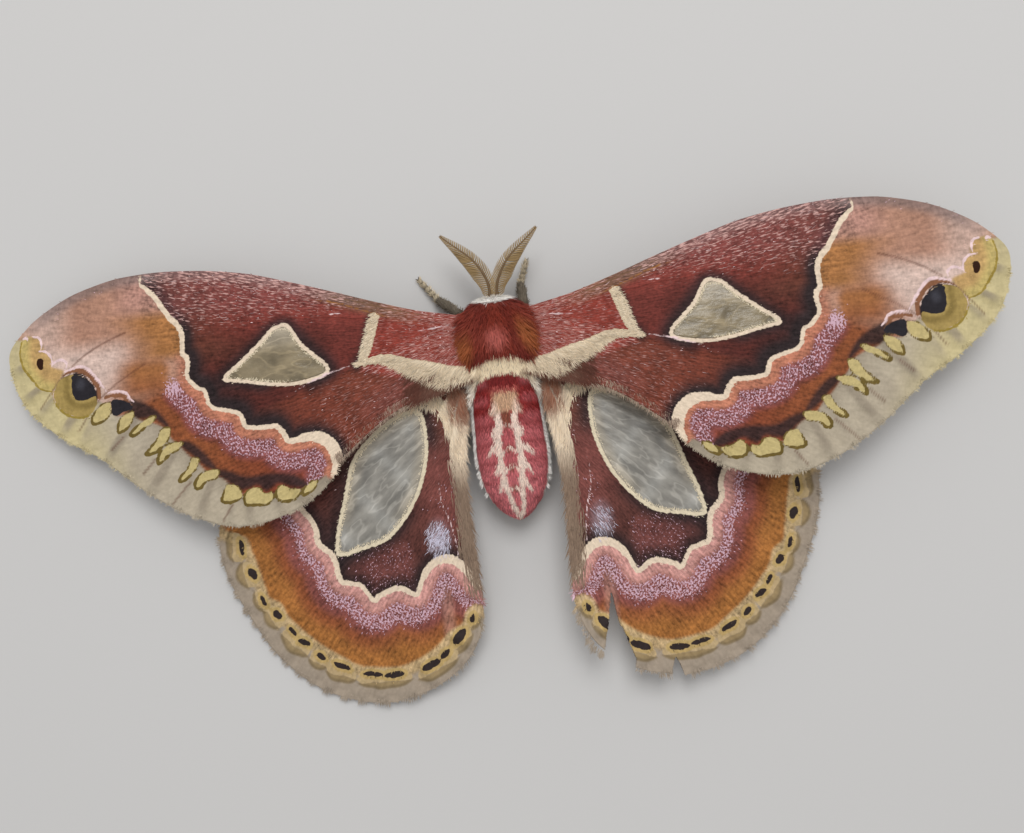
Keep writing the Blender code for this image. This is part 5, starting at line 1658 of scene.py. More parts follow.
class HindWing(ForeWing):
    """A hindwing."""

    AREA = (0.6, 34.9, -42.5, -2.0)

    def coat(self, coater: Coater) -> None:
        """Grows its scales, anal hair and fringes."""
        rng = self.rng
        plan = self.plan
        pattern = plan.pattern
        tries = FULL_TRIES
        p = plan.roots(rng, int(0.8 * tries), self.AREA)
        paint = pattern.paint(p)
        inside = pattern.margin_field.depth(p) < rng.uniform(0.4, 2.0, len(p))
        p = self.kept(p[(paint.bare < -0.15) & inside])
        groups = [self.locks(p, plan.flow(p), Lay.SCALE)]
        groups.append(self.rim_hairs(pattern.window))
        p = plan.roots(rng, tries // 3, (0.4, 9.0, -12.5, -3.0))
        p = p[pattern.arc.stripe(p, (0.6, 0.9, 1.0, 1.0, 0.9, 0.8, 0.5)) > 0.0]
        ways = unit(np.column_stack([p[:, 0] - 5.4, np.full(len(p), -3.2)]))
        # Painted light: the arc's hair is made brighter than its own colour to make up for the shade of the
        # forewing and body over it.
        tint = 1.3 * self.blend(Tint.BAND_CREAM, Tint.FLUFF, rng.random(len(p)))
        groups.append(self.locks(p, ways, Lay.ARC, tint, spread=0.3))
        p = plan.roots(rng, 3 * tries, (-0.6, 4.4, -29.5, -3.0))
        p = p[p[:, 0] > 0.8 - 1.5 * smooth(-7.0, -10.0, p[:, 1])]
        fade = (smooth(3.9, 2.0, p[:, 0]) * smooth(-29.5, -24.0, p[:, 1])
                * (0.45 + 0.55 * smooth(-20.0, -9.0, p[:, 1])))
        p = p[rng.random(len(p)) < 0.9 * fade]
        ways = unit(np.column_stack([-0.22 + 0.05 * rng.normal(size=len(p)), np.full(len(p), -1.0)]))
        share = (smooth(-16.0, -9.5, p[:, 1]) * smooth(4.3, 3.2, p[:, 0])
                 * rng.uniform(0.5, 1.0, len(p)))[:, None]
        rust = smooth(-8.0, -6.0, p[:, 1]) * smooth(0.4, 1.0, p[:, 0]) * smooth(3.4, 2.6, p[:, 0])
        rust = (rust * rng.uniform(0.8, 1.0, len(p)))[:, None]
        tint = Tint.BEIGE.linear() * (1 - share) * 0.75 + Tint.FLUFF.linear() * share * 1.3
        tint = tint * (1 - rust) + (Tint.RUST.linear() + Tint.ARCH_BROWN.linear()) * rust * 0.56
        groups.append(self.locks(p, ways, Lay.ANAL, tint, spread=0.14))
        p = plan.roots(rng, tries // (30 if self.torn else 8), (4.0, 7.8, -25.0, -19.4))
        p = p[np.hypot((p[:, 0] - 5.9) / 1.6, (p[:, 1] + 22.2) / 2.4) < rng.uniform(0.3, 1.1, len(p))]
        groups.append(self.locks(p, plan.flow(p), Lay.FROST,
                                 np.tile(1.3 * Tint.BLUE_WHITE.linear(), (len(p), 1)), spread=0.2))
        edges = [pattern.outer_edge.points[pattern.outer_edge.points[:, 1] < -14.0]]
        if self.torn:
            edges = [spline(HindPattern.OUTER), spline(TEAR[4:6]), spline(TEAR[10:])]
        for edge in edges:
            p = self.kept(self.along_edge(edge, 0.03, 0.7)[0])
            groups.append(self.ragged(self.locks(p, plan.flow(p), Lay.FRINGE, spread=0.25), p, 1.4))
        p = self.kept(plan.roots(rng, tries // 3, self.AREA))
        groups.append(self.locks(p, plan.flow(p), Lay.SCALE, top=False))
        coater.coat(self.pose.name + "_coat", Locks.joined(groups), self.pose.slot)

    def kept(self, p: Points) -> Points:
        """Those places that the tear has left."""
        if not self.torn:
            return p
        loop = Route.ring(np.vstack([TEAR, [(1.3, -25.0), (40.0, -25.0), (40.0, -43.5), (15.0, -43.5)]]))
        return p[loop.holds(p) | (p[:, 1] > TEAR_FRONT)]


# The right hindwing's torn inner corner, from the margin round to the inner edge
TEAR = np.array([(14.1, -42.5), (13.7, -41.1), (13.2, -40.1), (12.8, -41.0), (12.4, -42.3), (8.0, -41.1),
                 (8.2, -39.7), (7.4, -37.1), (6.6, -34.9), (6.0, -31.1), (5.4, -34.2), (4.8, -36.8),
                 (4.2, -38.8), (3.0, -37.9), (1.9, -35.6), (1.3, -32.5), (1.3, -30.0)])
# The tear lies wholly behind this line across the wing
TEAR_FRONT = -29.0

LEGS = {
    "foreleg_left": [(-2.3, 1.8, 3.8), (-3.5, 3.0, 1.9), (-4.7, 4.8, 3.2), (-7.3, 7.4, 1.15),
                     (-9.7, 10.8, 0.3)],
    "foreleg_right": [(2.3, 1.8, 3.8), (3.5, 3.0, 1.9), (3.9, 5.1, 3.2), (3.8, 8.1, 1.15), (5.0, 11.6, 0.3)],
    "midleg_left": [(-1.8, 0.2, 3.8), (-3.7, 0.4, 1.9), (-7.2, 1.6, 3.9), (-11.3, 0.1, 1.25),
                    (-15.9, -1.2, 0.3)],
    "midleg_right": [(1.8, 0.2, 3.8), (3.7, 0.4, 1.9), (7.2, 1.3, 3.9), (11.2, -0.4, 1.25),
                     (15.7, -2.0, 0.3)],
    "hindleg_left": [(-1.7, -2.3, 3.7), (-3.8, -2.7, 1.9), (-7.2, -5.4, 3.5), (-9.4, -11.0, 1.25),
                     (-12.0, -15.8, 0.3)],
    "hindleg_right": [(1.7, -2.3, 3.7), (3.8, -2.7, 1.9), (7.2, -5.6, 3.5), (9.6, -11.1, 1.25),
                      (12.3, -15.7, 0.3)],
}


@dataclass
class Body:
    """Thorax, abdomen, head, palps and legs under one skin."""

    skin_finish: bpy.types.Material
    coater: Coater
    squareness: float = 2.25
    collar_y: float = 4.35
    voxel: float = 0.22
    depths: tuple = ((-22.5, 0.1), (-18.0, 0.2), (-6.0, 0.22), (-3.5, 0.35), (0.0, 0.42), (4.0, 0.35),
                     (5.3, 0.1))

    # Sections of the body: y, height of the middle, half width, half height
    SECTIONS = np.array([
        (5.3, 7.2, 1.2, 0.8), (5.0, 7.0, 2.6, 1.8), (4.0, 6.6, 4.1, 3.0), (2.4, 6.25, 5.1, 4.0),
        (0.4, 6.0, 5.35, 4.5), (-1.6, 5.85, 5.2, 4.35), (-3.2, 5.5, 4.75, 3.95), (-4.6, 5.0, 4.45, 3.8),
        (-7.5, 4.35, 4.5, 4.05), (-11.5, 4.05, 4.65, 4.4), (-14.5, 3.9, 4.75, 4.2), (-18.0, 3.8, 4.3, 3.55),
        (-20.4, 3.5, 3.05, 2.6), (-22.0, 3.3, 1.45, 1.3), (-22.5, 3.2, 0.5, 0.5)])
    HEAD = np.array([0.0, 4.2, 3.9])
    HEAD_RADII = np.array([2.1, 1.85, 1.95])
    LEFT_CHAIN = [(-0.94, -7.6), (-1.04, -9.0), (-1.13, -10.2), (-1.05, -11.3), (-1.42, -12.6),
                  (-1.41, -14.1), (-1.36, -15.6), (-1.33, -17.0), (-1.18, -18.3), (-0.84, -19.7),
                  (-0.42, -21.2), (0.1, -22.3)]
    RIGHT_CHAIN = [(1.03, -7.8), (1.08, -9.3), (0.82, -10.4), (1.04, -11.8), (1.0, -13.4), (1.12, -14.8),
                   (1.03, -16.1), (0.95, -17.5), (0.8, -18.8), (0.72, -20.2), (0.5, -21.5), (0.1, -22.3)]
    PINCHES = ((-11.1, -0.1), (-14.0, -0.15), (-16.3, -0.15), (-18.8, -0.15))
    BARBS = [[(-1.1, -11.0), (-2.1, -12.3)], [(-1.5, -13.2), (-2.85, -14.6)], [(-1.4, -15.8), (-2.2, -17.0)],
             [(-1.3, -17.8), (-2.05, -19.1)], [(0.95, -11.2), (1.75, -12.3)], [(1.1, -13.5), (2.7, -14.8)],
             [(1.05, -15.6), (2.3, -17.1)], [(0.9, -17.8), (2.0, -19.2)]]
    PATCH = [(-1.3, -7.1), (0.1, -7.0), (1.5, -7.2), (1.4, -8.2), (1.8, -9.5), (1.0, -9.4), (-0.9, -9.4),
             (-2.0, -9.6), (-1.55, -8.4)]

    def section(self, y: Amounts) -> np.ndarray:
        """Middle height, half width and half height at each y."""
        fine = spline(self.SECTIONS.tolist(), 0.3)[::-1]
        return np.column_stack([np.interp(y, fine[:, 0], fine[:, k]) for k in (1, 2, 3)])

    def paint(self, p: np.ndarray) -> tuple[np.ndarray, Amounts]:
        """Colours the body.

        Args:
            p: Points in the solids' frame.

        Returns:
            Linear colours, and how far each point belongs to the white side fringe.
        """
        x, y, z = p.T
        middle, _, high = self.section(y).T
        top = smooth(-0.1, 0.35, (z - middle) / high)
        paint = Paint(np.tile(BodyTint.THORAX.linear(), (len(p), 1)))
        paint.wash(BodyTint.COLLAR, smooth(3.0, 4.6, y) * 0.8)
        paint.wash(BodyTint.COLLAR, smooth(-1.2, -2.6, y) * 0.7)
        paint.wash(BodyTint.EMBER, smooth(1.7, 0.3, np.hypot((x + 4.1) / 1.1, (y + 0.9) / 1.7)) * 0.9)
        paint.wash(BodyTint.EMBER, smooth(1.7, 0.3, np.hypot((x - 3.3 + 0.3 * y) / 0.9, (y + 0.1) / 1.9))
                   * 0.85)
        paint.wash(BodyTint.COLLAR, smooth(1.1, 0.3, np.abs(x + 1.4)) * smooth(0.3, 2.2, y) * 0.6)
        paint.wash(BodyTint.COLLAR, smooth(0.9, 0.2, np.abs(x - 1.9 + 0.2 * y)) * smooth(-3.0, -1.0, y) * 0.5)
        paint.wash(BodyTint.ROSE, smooth(1.2, 0.2, np.hypot((x + 0.1) / 1.6, (y + 0.4) / 1.8)) * 0.8)
        belly = np.tile(BodyTint.BELLY.linear(), (len(p), 1))
        abdomen = smooth(-4.6, -5.2, y)
        paint.wash(BodyTint.CRIMSON, abdomen)
        paint.wash(BodyTint.DEEP_CRIMSON, abdomen * smooth(-7.6, -5.6, y) * 0.75)
        paint.wash(BodyTint.DEEP_CRIMSON, abdomen * smooth(0.6, 0.1, np.abs(np.abs(x) - 2.9))
                   * smooth(-13.0, -9.5, y) * 0.4)
        # Painted sheen: the abdomen's rear half is washed paler pink where its scales catch the light.
        paint.wash(BodyTint.PINK_SHEEN, smooth(-8.5, -12.5, y) * 0.58 + smooth(-13.0, -19.5, y) * 0.36)
        paint.wash(BodyTint.ROSE, smooth(0.5, 0.1, np.abs(y + 6.7)) * smooth(2.2, 1.2, np.abs(x)) * 0.6)
        for joint in range(7):
            at = -6.5 - joint * 13.6 / 6.0
            aside = abdomen * smooth(1.6, 2.4, np.abs(x))
            paint.wash(BodyTint.DEEP_CRIMSON, smooth(0.3, 0.05, np.abs(y - at)) * aside * 0.4)
            # Painted sheen: a paler pink band just behind each joint.
            paint.wash(BodyTint.PINK_SHEEN, smooth(0.9, 0.2, np.abs(y - at - 0.95)) * aside * 0.35)
        flat = p[:, :2]
        chain = np.maximum(Route(self.LEFT_CHAIN).stripe(flat, (0.34, 0.4, 0.36, 0.33, 0.28)),
                           Route(self.RIGHT_CHAIN).stripe(flat, (0.34, 0.4, 0.36, 0.33, 0.28)))
        for at, middle_x in self.PINCHES:
            crossing = [(middle_x - 0.95, at - 0.5), (middle_x, at + 0.15), (middle_x + 0.95, at - 0.5)]
            chain = np.maximum(chain, Route(crossing).stripe(flat, (0.2, 0.1, 0.2)))
            paint.wash(BodyTint.UMBER, smooth(1.2, 0.4, np.hypot((x - middle_x) / 0.7, (y - at) / 0.6))
                       * top * 0.6)
        for barb in self.BARBS:
            chain = np.maximum(chain, Route(barb).stripe(flat, (0.5, 0.34, 0.14)))
        ragged = 0.07 * np.sin(9.0 * x + 4.0 * y) + 0.06 * np.sin(17.0 * y - 5.0 * x)
        paint.wash(BodyTint.CHAIN, smooth(-0.08, 0.1, chain + ragged) * top)
        patch = smooth(-0.35, 0.3, Route(self.PATCH, closed=True).depth(flat) + ragged) * top
        paint.wash(BodyTint.FAWN, patch)
        paint.wash(BodyTint.CHAIN, patch * smooth(0.5, 1.5, np.abs(x + 0.1)) * smooth(-7.6, -8.8, y) * 0.7)
        paint.wash(BodyTint.UMBER,
                   smooth(1.15, 0.75, np.hypot((x + 0.15) / 0.62, (y + 10.1) / 0.85) + ragged) * top * 0.85)
        low = smooth(0.1, -0.25, (z - middle) / high)
        waist = self.waist(x, y, low)
        arch = smooth(-0.12, 0.08, waist + 0.6 * ragged)
        paint.wash(BodyTint.WAIST, arch)
        paint.wash(BodyTint.WHITE, arch * smooth(2.6, 4.0, np.abs(x)) * smooth(-3.6, -4.6, y) * 0.7)
        share = (low * smooth(5.0, 2.0, y) * 0.85)[:, None]
        colours = paint.ground * (1 - share) + belly * share
        white = smooth(-0.08, 0.08, self.collar(x, y, z) + 0.8 * ragged)
        clump = 0.7 + 0.3 * np.sin((y + 6.5) * 2.0 * math.pi / 2.27)
        fringe = (smooth(0.28, 0.14, np.abs((z - middle) / high - 0.1)) * smooth(-7.2, -8.2, y)
                  * smooth(-20.4, -18.0, y) * clump)
        white = np.maximum(white, smooth(0.1, 0.35, fringe))[:, None]
        colours = colours * (1 - white) + BodyTint.WHITE.linear() * white
        return self._limbs(p, colours), fringe

    def collar(self, x: Amounts, y: Amounts, z: Amounts) -> Amounts:
        """How deep points lie within the white collar on the thorax's front, below 0 outside it."""
        outer = 1.9 * (1.0 - np.hypot(x / 2.45, (z - 7.2) / 2.0))
        inner = 1.3 * (np.hypot(x / 1.6, (z - 5.6) / 1.4) - 1.0)
        return np.minimum(np.minimum(outer, inner), y + 0.03 * x * x - self.collar_y)

    @staticmethod
    def waist(x: Amounts, y: Amounts, low: Amounts) -> Amounts:
        """How deep points lie within the cream arch over the waist, with its arms down the sides."""
        front = -2.75 - 0.06 * x * x
        rear = -4.75 - 0.08 * x * x - 2.8 * smooth(3.0, 4.8, np.abs(x)) - 2.2 * low
        return np.minimum(front - y, y - rear)

    def _limbs(self, p: np.ndarray, colours: np.ndarray) -> np.ndarray:
        """Colours the head and legs, which lie outside the trunk.

        Args:
            p: Points in the solids' frame.
            colours: The trunk's colours.

        Returns:
            All colours.
        """
        middle, half, high = self.section(p[:, 1]).T
        out = ((np.abs(p[:, 0]) / half) ** 2 + ((p[:, 2] - middle) / high) ** 2 > 1.35) | (p[:, 1] > 5.3)
        _, joint = self.nearest_leg(p)
        tints = [BodyTint.THIGH, BodyTint.THIGH, BodyTint.SHIN, BodyTint.FOOT]
        limb = np.array([tint.linear() for tint in tints])[np.clip(joint.astype(int), 0, 3)]
        limb *= 1.0 - 0.6 * self.foot_gap(joint)[:, None]
        head = np.linalg.norm((p - self.HEAD) / (self.HEAD_RADII + 0.3), axis=1) < 1.15
        limb[head] = BodyTint.FACE.linear()
        palp = (p[:, 1] > 4.9) & (p[:, 2] < 3.9) & (np.abs(p[:, 0]) < 1.5)
        limb[palp] = BodyTint.FOOT.linear()
        colours = colours.copy()
        colours[out] = limb[out]
        return colours

    @staticmethod
    def foot_gap(place: Amounts) -> Amounts:
        """How near each point lies to a joint between two segments of a foot, up to 1."""
        return (smooth(0.055, 0.0, np.abs(5.0 * (place - 3.0) - np.round(5.0 * (place - 3.0))) / 5.0)
                * (place > 3.02))

    @staticmethod
    def nearest_leg(p: np.ndarray) -> tuple[np.ndarray, Amounts]:
        """Finds the nearest leg bone to each point.

        Args:
            p: Points in the solids' frame.

        Returns:
            The bone's direction, and its place along the leg from 0 at the hip to 4 at the toe.
        """
        best = np.full(len(p), np.inf)
        ways = np.zeros_like(p)
        place = np.zeros(len(p))
        for joints in LEGS.values():
            chain = np.array(joints)
            for k, (a, b) in enumerate(zip(chain, chain[1:])):
                share = np.clip((p - a) @ (b - a) / ((b - a) @ (b - a)), 0.0, 1.0)
                away = np.linalg.norm(p - a - share[:, None] * (b - a), axis=1)
                nearer = away < best
                best[nearer] = away[nearer]
                ways[nearer] = (b - a) / np.linalg.norm(b - a)
                place[nearer] = k + share[nearer]
        return ways, place

    def build(self) -> None:
        """Builds the skin and its coat."""
        parts = Solids()
        stations = np.concatenate([[5.3, 5.2], np.arange(5.0, -22.0, -0.4), [-22.0, -22.3, -22.5]])
        sizes = self.section(stations)
        inset = np.interp(stations, *np.array(self.depths).T)
        rings = []
        for y, (middle, half, high), depth in zip(stations, sizes, inset):
            angle = np.linspace(0.0, 2.0 * math.pi, 48, endpoint=False)
            c, s = np.cos(angle), np.sin(angle)
            power = 2.0 / self.squareness
            x = max(half - depth, 0.1) * np.sign(c) * np.abs(c) ** power
            z = middle + max(high - depth, 0.1) * np.sign(s) * np.abs(s) ** power
            rings.append(np.column_stack([x, np.full(48, y), z.clip(0.02)]))
        parts.loft(rings)
        parts.ball(self.HEAD, self.HEAD_RADII - 0.2)
        for side in (-1, 1):
            parts.ball(np.array([0.55 * side, 5.5, 2.8]), np.array([0.36, 0.8, 0.42]))
        for joints in LEGS.values():
            self._leg(parts, [np.array(joint) for joint in joints])
        mesh = self._joined(parts)
        count = len(mesh.vertices)
        points = np.empty(count * 3)
        mesh.vertices.foreach_get("co", points)
        points = points.reshape(-1, 3)
        points[:, 2] = points[:, 2].clip(0.02)
        colours, _ = self.paint(points)
        store(mesh, "tint", colours * 0.8, "FLOAT_COLOR")
        corners = np.empty(len(mesh.loops), dtype=int)
        mesh.loops.foreach_get("vertex_index", corners)
        normals = np.empty(count * 3)
        mesh.vertices.foreach_get("normal", normals)
        self._coat(points, normals.reshape(-1, 3), mesh)
        mesh.vertices.foreach_set("co", to_world(points).ravel())
        mesh.materials.append(self.skin_finish)
        nodes = ["thorax", "abdomen", "head", *LEGS]
        ride(show("body_skin", mesh), "thorax", *nodes)

    @staticmethod
    def _leg(parts: "Solids", joints: list) -> None:
        """Adds one leg's limbs and swollen joints.

        Args:
            parts: The solids that take it.
            joints: Hip, knee and so on to the toe.
        """
        radii = [[0.7, 0.76], [0.66, 0.78, 0.7], [0.54, 0.64, 0.66, 0.54],
                 [0.5, 0.5, 0.35, 0.5, 0.34, 0.48, 0.32, 0.45, 0.29, 0.41, 0.24]]
        for a, b, widths in zip(joints, joints[1:], radii):
            shares = np.linspace(0.0, 1.0, len(widths))
            steps = np.linspace(0.0, 1.0, max(6, 3 * len(widths)))
            run = b - a
            side = np.cross(run, [0.0, 0.0, 1.0])
            side = side / np.linalg.norm(side)
            over = np.cross(side, run) / np.linalg.norm(run)
            angle = np.linspace(0.0, 2.0 * math.pi, 14, endpoint=False)[:, None]
            rings = []
            for step in steps:
                r = float(np.interp(step, shares, widths))
                ring = a + run * step + r * (np.cos(angle) * side - np.sin(angle) * over)
                ring[:, 2] = ring[:, 2].clip(0.02)
                rings.append(ring)
            parts.loft(rings)
            parts.ball(b, np.full(3, widths[-1]))

    def _joined(self, parts: "Solids") -> bpy.types.Mesh:
        """Melts the overlapping solids into one smooth closed skin."""
        rough = show("body parts", mesh_of("body parts", np.array(parts.points), parts.faces))
        melt = rough.modifiers.new("melt", "REMESH")
        melt.mode = "VOXEL"
        melt.voxel_size = self.voxel
        melt.use_smooth_shade = True
        ease = rough.modifiers.new("ease", "SMOOTH")
        ease.iterations = 3
        ease.factor = 0.5
        mesh = bpy.data.meshes.new_from_object(rough.evaluated_get(bpy.context.evaluated_depsgraph_get()))
        bpy.data.objects.remove(rough)
        mesh.name = "body_skin"
        return mesh

    def _coat(self, points: np.ndarray, normals: np.ndarray, mesh: bpy.types.Mesh) -> None:
        """Grows fur over the skin.

        Args:
            points: The skin's points.
            normals: Their outward directions.
            mesh: The skin.
        """
        rng = np.random.default_rng(41)
        mesh.calc_loop_triangles()
        triangles = np.empty(len(mesh.loop_triangles) * 3, dtype=int)
        mesh.loop_triangles.foreach_get("vertices", triangles)
        triangles = triangles.reshape(-1, 3)
        a, b, c = (points[triangles[:, k]] for k in range(3))
        areas = np.linalg.norm(np.cross(b - a, c - a), axis=1) / 2
        count = int(areas.sum() * (40))
        picked = rng.choice(len(areas), count, p=areas / areas.sum())
        w = rng.dirichlet((1.0, 1.0, 1.0), count)[:, :, None]
        corner = triangles[picked]
        roots = (points[corner] * w).sum(axis=1)
        ups = unit((normals[corner] * w).sum(axis=1))
        x, y, z = roots.T
        shift = 0.5 * smooth(-21.0, -17.0, y) * smooth(4.6, 3.6, y)
        ahead = roots - np.column_stack([np.zeros(count), shift, np.zeros(count)])
        tint, fringe = self.paint(ahead)
        y = ahead[:, 1]
        middle, half, high = self.section(roots[:, 1]).T
        trunk = ((np.abs(x) / half) ** 2 + ((z - middle) / high) ** 2 < 1.2) & (y < 5.4)
        tint[~trunk] = self.paint(roots[~trunk])[0]
        from_head = np.linalg.norm((roots - self.HEAD) / (self.HEAD_RADII + 0.3), axis=1)
        head = (from_head < 1.15) | (y > 4.9) & (z < 4.0)
        ways, place = self.nearest_leg(roots)
        low = (z - middle) / high
        kinds = np.full(count, "LEG", dtype=object)
        kinds[place < 2.0] = "THIGH"
        kinds[trunk] = "ABDOMEN"
        kinds[trunk & (y > -2.7 - 0.06 * x * x)] = "THORAX"
        kinds[(kinds == "THORAX") & (np.abs(x) > 3.3) & (low > -0.3)] = "SHOULDER"
        kinds[trunk & (self.waist(x, y, smooth(0.1, -0.25, low)) > 0.0)] = "WAIST"
        kinds[(kinds == "WAIST") & (np.abs(x) > 3.0) & (y < -3.9)] = "ARM"
        kinds[trunk & (y + 0.03 * x * x > self.collar_y)] = "COLLAR"
        kinds[trunk & (fringe > 0.4)] = "SIDE"
        kinds[head & (z < 5.4) & (y > 3.2)] = "HEAD"
        keep = {"LEG": 0.3, "THIGH": 0.36, "ABDOMEN": 0.62, "THORAX": 1.0, "SHOULDER": 1.0, "WAIST": 1.0,
                "ARM": 1.0, "COLLAR": 1.0, "SIDE": 0.9, "HEAD": 0.6}
        under = np.where(low < -0.35, 0.55, 1.0)
        chosen = (rng.random(count) < np.array([keep[kind] for kind in kinds]) * under
                  * (1.0 - self.foot_gap(place)))
        lie = np.column_stack([0.14 * x, np.full(count, -1.0), np.full(count, -0.05)])
        ruff = kinds == "COLLAR"
        lie[ruff] = np.column_stack([x[ruff], np.full(ruff.sum(), 1.6), z[ruff] - 6.4])
        lie[kinds == "HEAD"] = (0.0, 0.7, -0.6)
        limb = (kinds == "LEG") | (kinds == "THIGH")
        lie[limb] = ways[limb]
        shoulder = kinds == "SHOULDER"
        lie[shoulder] = np.column_stack([np.sign(x[shoulder]) * (0.6 + 0.16 * (y[shoulder] + 2.0).clip(0.0)),
                                         np.full(shoulder.sum(), -1.0), np.full(shoulder.sum(), -0.1)])
        side = (kinds == "SIDE") | (kinds == "ARM")
        lie[side] = np.column_stack([0.75 * np.sign(x[side]), np.full(side.sum(), -1.0),
                                     np.full(side.sum(), 0.1)])
        lie[kinds == "ARM", 2] = 0.35
        ups[side] = unit(0.3 * ups[side] + np.array([0.0, 0.0, 1.0]))
        # Painted light: these tufts get colours brighter than their own to make up for the shade they lie in.
        for kind, painted_light_gain in (("ARM", 1.5), ("SIDE", 1.5), ("WAIST", 1.15)):
            tint[kinds == kind] *= painted_light_gain
        bake = self._bake(roots, place, limb)
        pieces = {"coat_thorax": ("THORAX", "SHOULDER", "COLLAR", "WAIST", "ARM"),
                  "coat_abdomen": ("ABDOMEN", "SIDE"),
                  "coat_head": ("HEAD",), "coat_legs": ("LEG", "THIGH")}
        for name, members in pieces.items():
            groups = []
            for kind in members:
                m = chosen & (kinds == kind)
                groups.append(Locks.grown(roots[m], lie[m], ups[m], tint[m], bake[m], Lay[kind], rng, 0.2))
            self.coater.coat(name, Locks.joined(groups), name.removeprefix("coat_"))

    @staticmethod
    def _bake(roots: np.ndarray, place: Amounts, limb: np.ndarray) -> Points:
        """Places on an unwrap: the trunk rolled out, the legs side by side above it."""
        x, y, z = roots.T
        around = (np.arctan2(x, z - 4.6) / (2.0 * math.pi)) % 1.0
        out = np.column_stack([0.01 + 0.96 * around, 0.01 + 0.6 * (y + 23.0) / 30.0])
        side = np.where(x > 0, 0.5, 0.0) + np.where(y > 3.0, 0.33, np.where(y > -2.5, 0.17, 0.0))
        legs = np.column_stack([0.01 + side + 0.14 * around, 0.66 + 0.075 * place])
        return np.where(limb[:, None], legs, out).clip(0.0, 0.996)


class Solids:
    """Overlapping closed solids, gathered as one list of points and faces."""

    def __init__(self) -> None:
        """Starts with none."""
        self.points: list = []
        self.faces: list = []

    def loft(self, rings: list) -> None:
        """Adds a closed tube through rings of points.

        Args:
            rings: Rings of equal counts, end to end.
        """
        start = len(self.points)
        sides = len(rings[0])
        for ring in rings:
            self.points += ring.tolist()
        for i in range(len(rings) - 1):
            for k in range(sides):
                a = start + i * sides
                after = (k + 1) % sides
                self.faces.append((a + k, a + after, a + sides + after, a + sides + k))
        last = start + (len(rings) - 1) * sides
        self.faces.append(tuple(range(start, start + sides))[::-1])
        self.faces.append(tuple(range(last, last + sides)))

    def ball(self, centre: np.ndarray, radii: np.ndarray, sides: int = 20) -> None:
        """Adds an ellipsoid.

        Args:
            centre: Its middle.
            radii: Its radii.
            sides: Faces round it.
        """
        rings = []
        angle = np.linspace(0.0, 2.0 * math.pi, sides, endpoint=False)
        for tilt in np.linspace(-0.5 * math.pi + 0.05, 0.5 * math.pi - 0.05, sides // 2 + 1):
            wide = math.cos(tilt)
            rings.append(centre + radii * np.column_stack([wide * np.cos(angle), wide * np.sin(angle),
                                                           np.full(sides, math.sin(tilt))]))
        self.loft(rings)


@dataclass
class Antenna:
    """A combed antenna: a shaft with two ranks of rays on each side."""

    name: str
    route: list
    inner: float
    coater: Coater
    shaft_finish: bpy.types.Material
    sides: int = 10
    rays: int = 37
    length: float = 1.5
    width: float = 0.21
    turned: float = 0.24

    def build(self) -> None:
        """Builds the shaft and its rays."""
        line = spline(self.route, 0.25)
        runs = unit(np.gradient(line, axis=0))
        across = unit(np.cross(runs, [0.0, 0.0, 1.0]))
        share = np.linspace(0.0, 1.0, len(line))
        line = (line + across * (self.inner * self.turned * self.length * smooth(0.0, 0.3, share)
                                 * smooth(1.0, 0.5, share))[:, None])
        over = np.cross(across, runs)
        radii = np.interp(share, [0.0, 0.06, 0.12, 1.0], [0.34, 0.36, 0.2, 0.07])
        radii = radii * (1.0 + 0.1 * np.cos(share * self.rays * 2.0 * math.pi))
        angle = np.linspace(0.0, 2.0 * math.pi, self.sides, endpoint=False)[:, None]
        parts = Solids()
        parts.loft([p + r * (np.cos(angle) * a + np.sin(angle) * o)
                    for p, r, a, o in zip(line, radii, across, over)][::-1])
        mesh = mesh_of(self.name + "_shaft", to_world(np.array(parts.points)), parts.faces)
        mesh.materials.append(self.shaft_finish)
        ride(show(self.name + "_shaft", mesh), "antennae", self.name)
        rng = np.random.default_rng(7)
        groups = []
        for lean, raised in ((0.42, -0.22), (0.42, 0.06)):
            for side in (-1.0, 1.0):
                at = np.linspace(0.08, 0.97, self.rays)
                spot = read_off(at, share, line)
                way = read_off(at, share, runs)
                out = read_off(at, share, across) * side
                up = read_off(at, share, over)
                reach = (self.length * np.minimum(1.0, 0.62 + 1.5 * at)
                         * (1.0 - 0.88 * ((at - 0.3).clip(0) / 0.7) ** 1.7))
                reach *= 1.0 - side * self.inner * self.turned * smooth(0.0, 0.3, at) * smooth(1.0, 0.5, at)
                lie = unit(out + lean * way + raised * up)
                # A ray bows towards its own Z, so the antenna's run takes the place of the skin's normal
                ups = unit(way - np.sum(way * lie, axis=1, keepdims=True) * lie)
                widths = np.full(self.rays, self.width)
                sizes = np.column_stack([reach, widths, widths])
                tint = BodyTint.RAY.linear() * rng.normal(1.0, 0.08, (self.rays, 1))
                bake = np.column_stack([0.25 * (side + 1.0) + 0.2 + 0.01 * at, 0.02 + 0.9 * at])
                groups.append(Locks(spot + 0.05 * lie, lie, ups, sizes, tint, bake))
        self.coater.coat(self.name + "_rays", Locks.joined(groups), "antennae", Shape.ray())


class BodyTint(Tinted):
    """Named colours of the body."""

    THORAX = (134, 54, 40)
    COLLAR = (110, 40, 32)
    EMBER = (168, 96, 52)
    ROSE = (196, 108, 98)
    CRIMSON = (142, 38, 36)
    DEEP_CRIMSON = (114, 34, 33)
    UMBER = (128, 74, 54)
    # Pale pink of the abdomen's painted sheen
    PINK_SHEEN = (206, 116, 120)
    CHAIN = (250, 226, 210)
    FAWN = (204, 164, 132)
    WAIST = (248, 230, 198)
    WHITE = (252, 248, 242)
    BELLY = (186, 160, 138)
    FACE = (128, 66, 50)
    THIGH = (100, 88, 78)
    SHIN = (112, 102, 88)
    FOOT = (200, 184, 156)
    # Dark brown of the shaft, which also stands for the shade that the rays cast along the antenna's middle:
    # partly painted shade.
    SHAFT = (92, 70, 42)
    RAY = (160, 134, 94)


